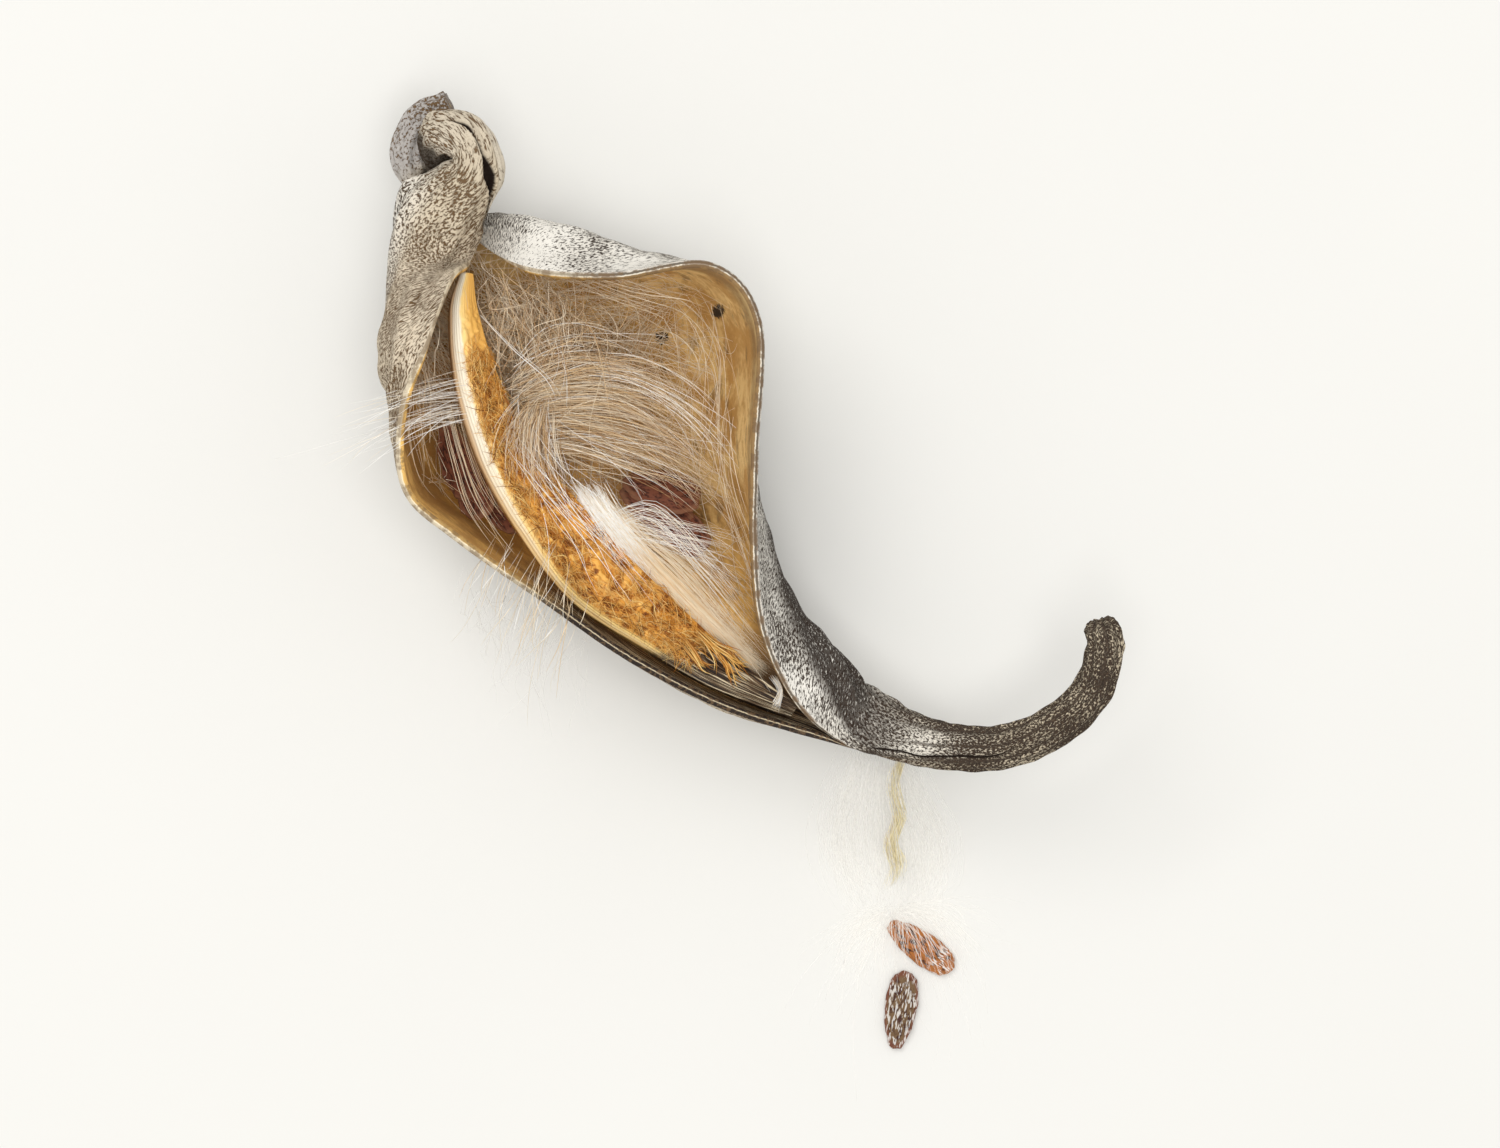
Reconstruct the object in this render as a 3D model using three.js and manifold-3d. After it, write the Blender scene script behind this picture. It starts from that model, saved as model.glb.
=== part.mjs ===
import * as THREE from 'three';
import Module from 'manifold-3d';

// A dry milkweed seed pod, split open along its suture and lying on its back.
// All sizes are in millimetres. +Z points up, out of the opening, and the surface is z = 0.
// The neck with its hooked stalk is at -X +Y, and the tail curls away at +X -Y.

// Driving sizes of the husk.
const WALL = 1.2;
const RIM_WALL = 0.8;
const RIM_TAPER = 0.8;
const RIDGE_HEIGHT = 0.28;
const RIDGES = 8;
const NET_HEIGHT = 0.14;
const SUTURE_DEPTH = 0.45;
const REST_FADE = 1.5;
const COLUMNS = 36;
const ROWS_PER_SECTION = 3;

// Driving sizes of what lies inside and beside it.
const RIB_THICKNESS = 1.1;
const SILK_THICKNESS = 0.9;
const LOOSE_THICKNESS = 0.7;
const SEED = { length: 7.6, width: 4.7, narrow: 3.3, blunt: 0.75, body: 1.1, margin: 0.6 };

// How far the whole moves, so that its middle stands over the origin.
const TO_MIDDLE = [0.47, 0.05, 0];

const COLOURS = {
  husk: { color: 0x8f867a, roughness: 0.95, metalness: 0 },
  placenta: { color: 0xe0a848, roughness: 0.7, metalness: 0 },
  silk: { color: 0xe9e0d0, roughness: 0.45, metalness: 0 },
  seeds: { color: 0x5a2f22, roughness: 0.75, metalness: 0 },
};

// The stalk and neck: centre, radius and the angle of the suture round the tube, in degrees,
// from the cut end of the stalk to where the suture opens. The last ring already gapes.
const NECK = [
  { at: [-30.7, 47.2, 12.5], radius: 1.6, seam: 40 },
  { at: [-33.7, 45.8, 12.0], radius: 1.65, seam: 40 },
  { at: [-35.1, 42.2, 12.0], radius: 1.7, seam: 40 },
  { at: [-33.4, 39.6, 12.2], radius: 1.7, seam: 40 },
  { at: [-31.2, 40.6, 13.4], radius: 1.75, seam: 40 },
  { at: [-31.8, 42.9, 17.2], radius: 1.9, seam: 40 },
  { at: [-31.0, 44.2, 21.4], radius: 2.2, seam: 40 },
  { at: [-28.6, 43.4, 23.6], radius: 2.5, seam: 40 },
  { at: [-27.4, 40.6, 22.8], radius: 2.7, seam: 35 },
  { at: [-29.6, 37.8, 20.4], radius: 3.7, seam: 22 },
  { at: [-31.8, 34.8, 18.0], radius: 4.7, seam: 10, gap: 38 },
];

// The two valves, in sections from the neck to the tail. Each section runs from the left rim
// over the left flank, left belly, keel, right belly and right flank to the right rim.
const VALVES = [
  [[-30.1, 29.8, 23.5], [-34.2, 28.5, 24.0], [-36.9, 27.2, 17.5], [-35.6, 27.0, 8.5],
    [-29.3, 29.8, 6.0], [-23.2, 36.2, 15.5], [-22.6, 30.5, 24.5]],
  [[-32.4, 23.5, 26.5], [-35.7, 22.2, 26.0], [-37.2, 20.4, 15.0], [-29.1, 21.6, 2.0],
    [-20.9, 27.2, 4.5], [-13.2, 33.1, 17.0], [-14.1, 29.8, 28.0]],
  [[-35.2, 16.2, 27.5], [-36.4, 15.8, 20.0], [-33.7, 14.5, 7.0], [-25.9, 16.6, 0.3],
    [-15.9, 22.2, 0.6], [-6.4, 29.2, 12.0], [-4.3, 30.8, 28.0]],
  [[-34.9, 8.2, 27.0], [-34.4, 8.2, 16.0], [-30.9, 8.2, 5.0], [-21.6, 10.8, -0.3],
    [-11.6, 15.4, 0.3], [-2.0, 21.6, 12.0], [0.7, 25.0, 27.2]],
  [[-29.7, 3.2, 26.0], [-28.9, 3.5, 15.5], [-25.3, 4.1, 5.0], [-17.2, 6.0, 0.0],
    [-8.7, 8.5, 1.2], [-1.6, 11.2, 12.5], [0.4, 12.2, 25.5]],
  [[-21.2, -2.8, 24.0], [-20.6, -2.5, 14.0], [-17.6, -1.5, 5.0], [-10.9, -0.2, 0.5],
    [-4.1, 2.2, 4.0], [1.3, 4.1, 13.5], [0.3, 2.9, 24.5]],
  [[-12.2, -9.0, 22.0], [-11.9, -8.8, 13.5], [-8.7, -8.0, 6.5], [-2.4, -6.2, 4.0],
    [2.4, -4.4, 7.0], [4.5, -3.3, 14.5], [1.2, -5.6, 23.0]],
  [[-2.2, -14.0, 19.5], [-1.9, -14.0, 13.0], [1.6, -13.0, 8.5], [5.9, -10.5, 8.0],
    [8.8, -8.4, 11.5], [8.1, -9.2, 17.5], [4.7, -13.1, 20.5]],
];

// The tail, from where the suture closes to the rounded tip.
const TAIL = [
  { at: [11.2, -14.8, 16.0], radius: 3.2, seam: 165 },
  { at: [15.5, -16.6, 16.2], radius: 2.7, seam: 158 },
  { at: [20.3, -17.5, 17.2], radius: 2.35, seam: 150 },
  { at: [25.3, -17.3, 18.8], radius: 2.15, seam: 145 },
  { at: [30.1, -15.2, 20.4], radius: 2.0, seam: 140 },
  { at: [33.6, -11.8, 21.6], radius: 1.9, seam: 140 },
  { at: [34.9, -7.6, 22.4], radius: 1.8, seam: 140 },
  { at: [34.6, -5.4, 22.8], radius: 1.7, seam: 140 },
  { at: [34.4, -4.6, 22.9], radius: 0.9, seam: 140 },
];

const vector = (p) => new THREE.Vector3(...p);
const radians = THREE.MathUtils.degToRad;

// A smooth surface through a net of points: the first number runs from section to section,
// the second from rail to rail within a section.
function netSurface(sections) {
  const spline = (points) => new THREE.CatmullRomCurve3(points, false, 'catmullrom', 0.5);
  const last = sections.length - 1;
  const across = sections[0].length - 1;
  const rails = sections[0].map((_, k) => spline(sections.map((section) => section[k])));
  return (t, s) => spline(rails.map((rail) => rail.getPoint(t / last))).getPoint(s / across);
}

// The unit normal of a surface, on the side that the two directions turn towards.
function normalOf(surface, t, s, tEnd, sEnd) {
  const step = 0.02;
  const before = surface(Math.max(t - step, 0), s);
  const after = surface(Math.min(t + step, tEnd), s);
  const left = surface(t, Math.max(s - step, 0));
  const right = surface(t, Math.min(s + step, sEnd));
  return after.sub(before).cross(right.sub(left)).normalize();
}

// The rings of a tube along its centres, each with its two ends on the seam. The ring's zero
// direction is carried from ring to ring without turning about the tube.
function tubeRings(stations, start, direction) {
  const centres = stations.map((station) => vector(station.at));
  const path = new THREE.CatmullRomCurve3(centres, false, 'catmullrom', 0.5);
  const rings = [];
  let zero = direction.clone();
  const order = start === 'last' ? stations.map((_, k) => stations.length - 1 - k)
    : stations.map((_, k) => k);
  for (const k of order) {
    const along = path.getTangent(k / (stations.length - 1));
    zero = zero.clone().addScaledVector(along, -zero.dot(along)).normalize();
    const up = along.clone().cross(zero);
    const { radius, seam, gap = 0 } = stations[k];
    rings[k] = Array.from({ length: 7 }, (_, rail) => {
      const angle = radians(seam + gap / 2 + ((360 - gap) * rail) / 6);
      return centres[k].clone()
        .addScaledVector(zero, radius * Math.cos(angle))
        .addScaledVector(up, radius * Math.sin(angle));
    });
  }
  return rings;
}

// Collects corners by place, so that faces which meet share them, and leaves out empty faces.
class Faces {
  constructor() {
    this.places = [];
    this.index = [];
    this.known = new Map();
  }

  corner(p) {
    const key = [p.x, p.y, p.z].map((value) => Math.round(value * 500)).join(' ');
    if (!this.known.has(key)) {
      this.known.set(key, this.places.length / 3);
      this.places.push(p.x, p.y, p.z);
    }
    return this.known.get(key);
  }

  triangle(a, b, c) {
    const ids = [a, b, c].map((p) => this.corner(p));
    if (new Set(ids).size === 3) {
      this.index.push(...ids);
    }
  }

  quad(a, b, c, d) {
    this.triangle(a, b, c);
    this.triangle(a, c, d);
  }

  // A grid of corners; its faces look to the side that rows and columns turn towards.
  grid(rows, flip = false) {
    for (let i = 0; i + 1 < rows.length; i += 1) {
      for (let j = 0; j + 1 < rows[i].length; j += 1) {
        const around = [rows[i][j], rows[i + 1][j], rows[i + 1][j + 1], rows[i][j + 1]];
        this.quad(...(flip ? around.reverse() : around));
      }
    }
  }

  fan(centre, ring) {
    for (let j = 0; j + 1 < ring.length; j += 1) {
      this.triangle(centre, ring[j], ring[j + 1]);
    }
  }

  geometry() {
    const made = new THREE.BufferGeometry();
    made.setAttribute('position', new THREE.Float32BufferAttribute(this.places, 3));
    made.setIndex(this.index);
    made.computeVertexNormals();
    return made;
  }
}

const smooth = (from, to, value) => THREE.MathUtils.smoothstep(value, from, to);
const evenly = (count, to) => Array.from({ length: count + 1 }, (_, k) => (to * k) / count);

// The husk: one shell from the stalk's cut end to the tip of the tail.
const huskSections = [
  ...tubeRings(NECK, 'last', new THREE.Vector3(1, 0, 0)),
  ...VALVES.map((section) => section.map(vector)),
  ...tubeRings(TAIL, 'first', new THREE.Vector3(0.6, 0.8, 0)),
];
const SLIT = 2 / 3;
const OPENS = NECK.length - 1 - SLIT;
const OPENS_ROW = Math.round(OPENS * ROWS_PER_SECTION);
const CLOSES = NECK.length + VALVES.length;
const CLOSES_ROW = CLOSES * ROWS_PER_SECTION;
const HUSK_END = huskSections.length - 1;
const RIM_END = 6;
const huskNet = netSurface(huskSections);

// The husk's outer face without its relief, flattened where the keel rests on the surface.
function huskFace(t, s) {
  const p = huskNet(t, s);
  p.z = Math.max(p.z, 0);
  return p;
}

// How far the dry skin stands proud: ridges along the pod and a net of low bumps between them,
// both fading out at the rims and at the spot that the pod rests on, and a groove along the
// closed parts of the suture.
function relief(t, s, height) {
  const fromRim = Math.min(s, RIM_END - s);
  const fade = smooth(0, 0.7, fromRim) * smooth(0, REST_FADE, height);
  const slender = t < OPENS || t > CLOSES ? 0.55 : 1;
  const wander = 0.5 * Math.sin(t * 1.3) + 0.25 * Math.sin(t * 3.1 + s);
  const ridge = Math.sin((2 * Math.PI * RIDGES * s) / RIM_END + wander);
  const net = Math.sin(t * 9 + 2 * Math.sin(s * 5)) * Math.sin(s * 11 + t * 2);
  const closed = t < OPENS || t > CLOSES ? 1 : 0;
  const groove = closed * smooth(0, 0.8, Math.min(Math.abs(t - OPENS), Math.abs(t - CLOSES)));
  const cut = groove * SUTURE_DEPTH * (1 - smooth(0, 0.22, fromRim));
  return slender * fade * (RIDGE_HEIGHT * ridge + NET_HEIGHT * net) - cut;
}

function huskOuter(t, s) {
  const inward = normalOf(huskFace, t, s, HUSK_END, RIM_END);
  const face = huskFace(t, s);
  const p = face.clone().addScaledVector(inward, -relief(t, s, face.z));
  p.z = Math.max(p.z, 0);
  return p;
}

// The lining, one wall inside the outer face. At both ends of the opening it closes to a point
// on the suture.
function huskInner(t, s) {
  const inward = normalOf(huskFace, t, s, HUSK_END, RIM_END);
  const wall = RIM_WALL + (WALL - RIM_WALL) * smooth(0, RIM_TAPER, Math.min(s, RIM_END - s));
  const p = huskFace(t, s).addScaledVector(inward, wall);
  const suture = huskOuter(t, 0).lerp(huskOuter(t, RIM_END), 0.5);
  const fromEnd = Math.min(t - OPENS, CLOSES - t);
  return p.lerp(suture, 1 - smooth(0, 0.5, fromEnd));
}

function huskGeometry() {
  const faces = new Faces();
  const columns = evenly(COLUMNS, RIM_END);
  const outerRows = evenly(HUSK_END * ROWS_PER_SECTION, HUSK_END)
    .map((t) => columns.map((s) => huskOuter(t, s)));
  const closedRing = (row) => [...row.slice(0, -1), row[0]];
  const open = outerRows.map((row, k) => (
    k <= OPENS_ROW || k >= CLOSES_ROW ? closedRing(row) : row));
  faces.grid(open, true);
  const middle = (row) => row.slice(0, -1)
    .reduce((sum, p) => sum.add(p), new THREE.Vector3())
    .divideScalar(row.length - 1);
  faces.fan(middle(open[0]), [...open[0]].reverse());
  faces.fan(middle(open.at(-1)), open.at(-1));

  const first = OPENS_ROW;
  const last = CLOSES_ROW;
  const innerRows = open.slice(first, last + 1).map((row, k) => {
    const t = (first + k) / ROWS_PER_SECTION;
    const sparse = columns.filter((_, j) => j % 2 === 0);
    return sparse.map((s) => (k === 0 || k === last - first ? row[0] : huskInner(t, s)));
  });
  faces.grid(innerRows);
  for (let k = 0; k < last - first; k += 1) {
    const here = open[first + k];
    const next = open[first + k + 1];
    const inner = innerRows[k];
    const innerNext = innerRows[k + 1];
    faces.quad(here[0], next[0], innerNext[0], inner[0]);
    faces.quad(here.at(-1), inner.at(-1), innerNext.at(-1), next.at(-1));
  }
  return faces.geometry();
}

// A closed sheet under a net surface, made thick row by row along the row's mean normal. Its
// reach cuts the far end back between the locks, and its rise is the relief on its face.
function sheetGeometry(sections, look) {
  const net = netSurface(sections.map((section) => section.map(vector)));
  const tEnd = sections.length - 1;
  const sEnd = sections[0].length - 1;
  const top = [];
  const bottom = [];
  for (const u of evenly(look.rows, 1)) {
    const cells = evenly(look.columns, 1).map((v) => {
      const t = u * tEnd * (look.reach ? look.reach(v) : 1);
      const s = v * sEnd;
      return { v, p: net(t, s), normal: normalOf(net, t, s, tEnd, sEnd) };
    });
    const up = new THREE.Vector3();
    cells.forEach((cell) => up.add(cell.normal));
    up.normalize();
    top.push(cells.map(({ v, p, normal }) => p.clone().addScaledVector(normal, look.rise(u, v))));
    bottom.push(cells.map(({ p }) => p.clone().addScaledVector(up, -look.thickness)));
  }
  const faces = new Faces();
  faces.grid(top);
  faces.grid(bottom, true);
  const side = (a, b) => a.forEach((_, k) => {
    if (k + 1 < a.length) {
      faces.quad(a[k], a[k + 1], b[k + 1], b[k]);
    }
  });
  side(top[0], bottom[0]);
  side([...top.at(-1)].reverse(), [...bottom.at(-1)].reverse());
  side(top.map((row) => row[0]).reverse(), bottom.map((row) => row[0]).reverse());
  side(top.map((row) => row.at(-1)), bottom.map((row) => row.at(-1)));
  return faces.geometry();
}

// The placenta: each section runs from the left edge over the ivory rib and the golden netted
// face to its right edge. The last sections are the dark strip that reaches towards the tail.
const PLACENTA = [
  [[-29.5, 30.1, 19.2], [-29.0, 30.1, 19.6], [-28.6, 30.1, 19.3], [-28.2, 30.0, 18.8]],
  [[-30.4, 26.0, 21.0], [-29.6, 26.0, 21.6], [-28.6, 26.0, 21.2], [-27.6, 26.0, 19.6]],
  [[-29.7, 18.5, 22.0], [-28.6, 18.6, 22.7], [-27.4, 18.8, 22.0], [-25.6, 19.4, 19.4]],
  [[-27.4, 11.0, 22.0], [-26.3, 11.4, 22.8], [-25.2, 11.9, 22.0], [-22.9, 13.1, 19.2]],
  [[-23.6, 4.2, 21.6], [-22.6, 4.8, 22.4], [-21.7, 5.6, 21.5], [-18.2, 7.8, 18.6]],
  [[-18.3, -2.7, 20.6], [-17.5, -2.1, 21.4], [-16.6, -1.3, 20.5], [-12.9, 2.0, 17.4]],
  [[-11.0, -7.5, 19.6], [-10.5, -6.9, 20.3], [-9.8, -6.2, 19.4], [-7.2, -3.6, 16.2]],
  [[-5.3, -10.9, 18.2], [-4.8, -10.4, 18.6], [-4.2, -9.8, 18.1], [-2.2, -8.2, 15.6]],
  [[0.3, -13.2, 17.4], [0.6, -12.8, 17.6], [1.0, -12.4, 17.3], [1.9, -11.3, 15.8]],
  [[3.6, -14.4, 17.0], [3.8, -14.1, 17.1], [4.0, -13.8, 17.0], [4.4, -13.3, 16.5]],
];

function placentaGeometry() {
  const netted = (u, v) => {
    const face = smooth(0.35, 0.5, v) * smooth(0.08, 0.2, u) * (1 - smooth(0.72, 0.8, u));
    return face * 0.3 * Math.sin(u * 60 + 4 * v) * Math.sin(v * 22 + u * 25);
  };
  return sheetGeometry(PLACENTA, {
    rows: 40, columns: 9, thickness: RIB_THICKNESS, rise: netted,
  });
}

// The dense band of silk beside the golden face.
const SILK_SHEET = [
  [[-19.9, 11.2, 16.6], [-18.6, 12.2, 16.4], [-17.2, 13.2, 15.6]],
  [[-14.9, 5.4, 16.2], [-13.0, 6.9, 16.2], [-10.6, 8.3, 14.4]],
  [[-10.7, 1.3, 15.4], [-8.2, 2.7, 15.2], [-5.4, 3.6, 13.2]],
  [[-6.6, -3.7, 14.6], [-4.4, -2.6, 14.6], [-2.2, -1.8, 13.6]],
  [[-2.4, -7.6, 14.4], [-1.0, -7.2, 14.4], [0.2, -6.9, 14.0]],
  [[0.6, -10.1, 14.2], [1.0, -9.9, 14.2], [1.5, -9.7, 14.0]],
];

function silkSheetGeometry() {
  return sheetGeometry(SILK_SHEET, {
    rows: 18,
    columns: 10,
    thickness: SILK_THICKNESS,
    rise: (u, v) => 0.22 * Math.sin(v * 30 + 3 * u) * Math.sin(Math.PI * v),
  });
}

// The loose silk that fans out over the lining, from its roots at the placenta to its tips.
const SILK_FAN = [
  [[-21.6, 13.0, 17.2], [-21.0, 13.3, 17.3], [-20.4, 13.2, 17.2], [-19.8, 12.9, 17.0],
    [-19.2, 12.4, 17.2]],
  [[-23.2, 20.0, 15.8], [-18.8, 20.4, 14.8], [-14.2, 18.6, 13.6], [-11.8, 15.2, 13.2],
    [-11.0, 11.6, 14.8]],
  [[-24.6, 27.0, 15.4], [-17.4, 27.6, 14.2], [-8.8, 24.6, 13.8], [-4.6, 17.4, 13.4],
    [-3.6, 9.4, 15.4]],
];

function silkFanGeometry() {
  return sheetGeometry(SILK_FAN, {
    rows: 11,
    columns: 24,
    thickness: SILK_THICKNESS,
    reach: (v) => 1 - 0.16 * Math.abs(Math.sin(v * 6 * Math.PI)),
    rise: (u, v) => 0.25 * u * Math.sin(v * 40),
  });
}

// One seed: a flat oval with a thin winged margin, pointed at the end that held the silk. It
// lies along X with its point at +X and its middle at the origin.
function seedGeometry(width = SEED.width) {
  const around = 12;
  const outline = (share) => Array.from({ length: around }, (_, k) => {
    const angle = (2 * Math.PI * k) / around;
    const point = 0.12 * Math.max(0, Math.cos(angle)) ** 6;
    const x = (SEED.length / 2) * share * (Math.cos(angle) + point);
    const side = Math.sign(Math.sin(angle)) * Math.abs(Math.sin(angle)) ** SEED.blunt;
    return [x, (width / 2) * share * side * (1 - 0.12 * Math.cos(angle))];
  });
  const ring = (share, z) => {
    const points = outline(share).map(([x, y]) => new THREE.Vector3(x, y, z));
    return [...points, points[0]];
  };
  const margin = SEED.margin / 2;
  const body = SEED.body / 2;
  const rings = [ring(0.45, body), ring(0.8, margin), ring(1, margin), ring(1, -margin),
    ring(0.8, -margin), ring(0.45, -body)];
  const faces = new Faces();
  faces.grid(rings);
  faces.fan(new THREE.Vector3(0, 0, body), rings[0]);
  faces.fan(new THREE.Vector3(0, 0, -body), [...rings.at(-1)].reverse());
  return faces.geometry();
}

// Seeds that lie on each other, joined to one solid. Each is placed by its middle, the way its
// point looks, and its tilt about its length and across it, all in degrees.
const wasm = await Module();
wasm.setup();

function seedCluster(seeds) {
  const solids = seeds.map(({ at, heading, roll, pitch }) => {
    const seed = seedGeometry();
    const turn = new THREE.Euler(radians(roll), radians(pitch), radians(heading), 'ZYX');
    seed.applyMatrix4(new THREE.Matrix4().makeRotationFromEuler(turn).setPosition(...at));
    const mesh = new wasm.Mesh({
      numProp: 3,
      vertProperties: new Float32Array(seed.attributes.position.array),
      triVerts: new Uint32Array(seed.index.array),
    });
    return new wasm.Manifold(mesh);
  });
  const joined = wasm.Manifold.union(solids).getMesh();
  const made = new THREE.BufferGeometry();
  made.setAttribute('position', new THREE.Float32BufferAttribute(joined.vertProperties, 3));
  made.setIndex(Array.from(joined.triVerts));
  return made;
}

const RIGHT_SEEDS = [
  { at: [-9.8, 6.6, 9.2], heading: 150, roll: 22, pitch: 0 },
  { at: [-7.8, 4.8, 9.5], heading: 136, roll: 30, pitch: 4 },
  { at: [-9.2, 8.4, 9.3], heading: 168, roll: 28, pitch: -4 },
];

const LEFT_SEEDS = [
  { at: [-29.8, 11.0, 14.8], heading: 110, roll: -36, pitch: 0 },
  { at: [-28.1, 9.2, 14.6], heading: 95, roll: -30, pitch: 8 },
  { at: [-25.9, 7.4, 14.9], heading: 128, roll: -34, pitch: 0 },
];

// The silk that the two loose seeds hang on, from the tail down to the surface: a strand with a
// spread of finer floss on both sides.
const LOOSE_SILK = [
  [[11.8, -18.1, 13.7], [12.3, -18.3, 13.9], [12.8, -18.5, 14.0], [13.3, -18.6, 13.9],
    [13.8, -18.7, 13.8]],
  [[8.8, -22.4, 8.4], [10.8, -22.6, 9.2], [12.9, -22.8, 9.6], [15.1, -22.8, 9.2],
    [17.2, -22.6, 8.4]],
  [[7.0, -27.0, 3.6], [10.0, -27.2, 4.6], [13.5, -27.4, 5.0], [17.0, -27.2, 4.6],
    [19.8, -27.0, 3.6]],
  [[8.4, -31.4, 1.1], [11.0, -31.8, 1.8], [14.0, -32.0, 2.2], [17.2, -31.8, 1.8],
    [19.4, -31.4, 1.1]],
  [[11.8, -34.0, 0.8], [12.9, -34.2, 1.0], [14.0, -34.3, 1.1], [15.0, -34.2, 1.0],
    [16.0, -34.0, 0.8]],
];

function looseSilkGeometry() {
  return sheetGeometry(LOOSE_SILK, {
    rows: 18,
    columns: 14,
    thickness: LOOSE_THICKNESS,
    reach: () => 1,
    rise: (u, v) => 0.15 * Math.sin(v * 24),
  });
}

// The silk of the left chamber: a lock beside the placenta that leans out over the lower rim.
const SILK_CHAMBER = [
  [[-31.6, 16.4, 18.0], [-30.4, 16.8, 18.4], [-29.2, 17.2, 18.4]],
  [[-30.4, 11.4, 17.6], [-29.0, 11.8, 18.0], [-27.6, 12.3, 18.0]],
  [[-28.6, 6.4, 17.6], [-27.0, 7.2, 18.0], [-25.4, 7.9, 18.0]],
  [[-24.4, 1.4, 18.6], [-23.2, 2.2, 19.0], [-22.0, 3.0, 19.2]],
];

function silkChamberGeometry() {
  return sheetGeometry(SILK_CHAMBER, {
    rows: 14,
    columns: 8,
    thickness: LOOSE_THICKNESS,
    reach: () => 1,
    rise: (u, v) => 0.15 * Math.sin(v * 20),
  });
}

// Wisps that hang from the lower left rim down to the surface.
const SILK_WISPS = [
  [[-27.6, 0.3, 20.6], [-24.6, -1.6, 20.4], [-21.4, -3.9, 20.0], [-17.4, -6.3, 19.4]],
  [[-28.2, -2.6, 14.6], [-25.4, -4.6, 14.2], [-22.4, -6.8, 13.8], [-18.6, -9.2, 13.4]],
  [[-28.6, -5.6, 7.6], [-26.2, -7.8, 7.2], [-23.4, -10.2, 7.0], [-19.4, -12.6, 6.8]],
  [[-28.0, -8.6, 0.8], [-26.0, -11.0, 0.8], [-23.2, -13.6, 0.8], [-19.2, -16.0, 0.8]],
];

function silkWispsGeometry() {
  return sheetGeometry(SILK_WISPS, {
    rows: 12,
    columns: 16,
    thickness: LOOSE_THICKNESS,
    reach: (v) => 1 - 0.2 * Math.sin(v * 4 * Math.PI) ** 2,
    rise: (u, v) => 0.2 * Math.sin(v * 26),
  });
}

function placedSeed(at, heading, width) {
  const seed = seedGeometry(width);
  seed.rotateZ(radians(heading));
  seed.translate(...at);
  return seed;
}

const pod = new THREE.Group();

function add(name, geometry, finish) {
  const mesh = new THREE.Mesh(geometry, new THREE.MeshStandardMaterial(finish));
  mesh.name = name;
  pod.add(mesh);
}

const LYING = SEED.body / 2;
add('husk', huskGeometry(), COLOURS.husk);
add('placenta', placentaGeometry(), COLOURS.placenta);
add('silk_chamber', silkChamberGeometry(), COLOURS.silk);
add('silk_wisps', silkWispsGeometry(), COLOURS.silk);
add('silk_sheet', silkSheetGeometry(), COLOURS.silk);
add('silk_fan', silkFanGeometry(), COLOURS.silk);
add('right_seeds', seedCluster(RIGHT_SEEDS), COLOURS.seeds);
add('left_seeds', seedCluster(LEFT_SEEDS), COLOURS.seeds);
add('loose_silk', looseSilkGeometry(), COLOURS.silk);
add('loose_seed_upper', placedSeed([17.2, -38.4, LYING], 144, SEED.narrow), COLOURS.seeds);
add('loose_seed_lower', placedSeed([15.0, -44.6, LYING], 262, SEED.narrow), COLOURS.seeds);

// The middle of the whole stands over the origin.
pod.position.set(...TO_MIDDLE);

export default pod;
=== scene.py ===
"""A dry milkweed pod, split open and lying on its back, with its placenta, silk and seeds."""

import math
from itertools import product

import bpy
import numpy as np
from bpy.props import FloatProperty, FloatVectorProperty, IntProperty, PointerProperty
from mathutils import Euler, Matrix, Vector


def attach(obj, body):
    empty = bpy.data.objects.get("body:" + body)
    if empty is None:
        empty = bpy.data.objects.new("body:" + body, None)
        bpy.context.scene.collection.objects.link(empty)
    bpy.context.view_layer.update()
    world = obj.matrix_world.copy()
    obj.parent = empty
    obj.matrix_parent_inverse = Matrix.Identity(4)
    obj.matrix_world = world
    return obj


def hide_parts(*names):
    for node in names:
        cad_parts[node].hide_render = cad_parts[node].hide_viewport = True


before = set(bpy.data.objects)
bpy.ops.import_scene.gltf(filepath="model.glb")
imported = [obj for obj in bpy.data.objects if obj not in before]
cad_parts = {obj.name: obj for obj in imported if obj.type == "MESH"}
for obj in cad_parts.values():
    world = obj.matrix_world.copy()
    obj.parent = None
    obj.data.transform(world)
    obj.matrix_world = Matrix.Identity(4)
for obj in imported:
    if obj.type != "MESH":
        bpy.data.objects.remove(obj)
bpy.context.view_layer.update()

bl_info = {
    "name": "Milkweed seed pod",
    "version": (1, 0, 0),
    "blender": (4, 5, 0),
    "location": "View3D > Sidebar > Pod",
    "description": "Grows an open milkweed pod with its silk and seeds",
    "category": "Add Mesh",
}

MM = 0.001
# How far the floor lies below the pod, in m.
FLOOR_DROP = 0.00005
# The width of the camera's film, in mm, and the nearest that it sees, in m.
FILM_WIDTH, NEAREST = 36, 0.01
# How far the whole moves, so that its middle stands over the origin.
TO_MIDDLE = np.array([0.47, 0.05, 0.0])


# Shapes

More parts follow.
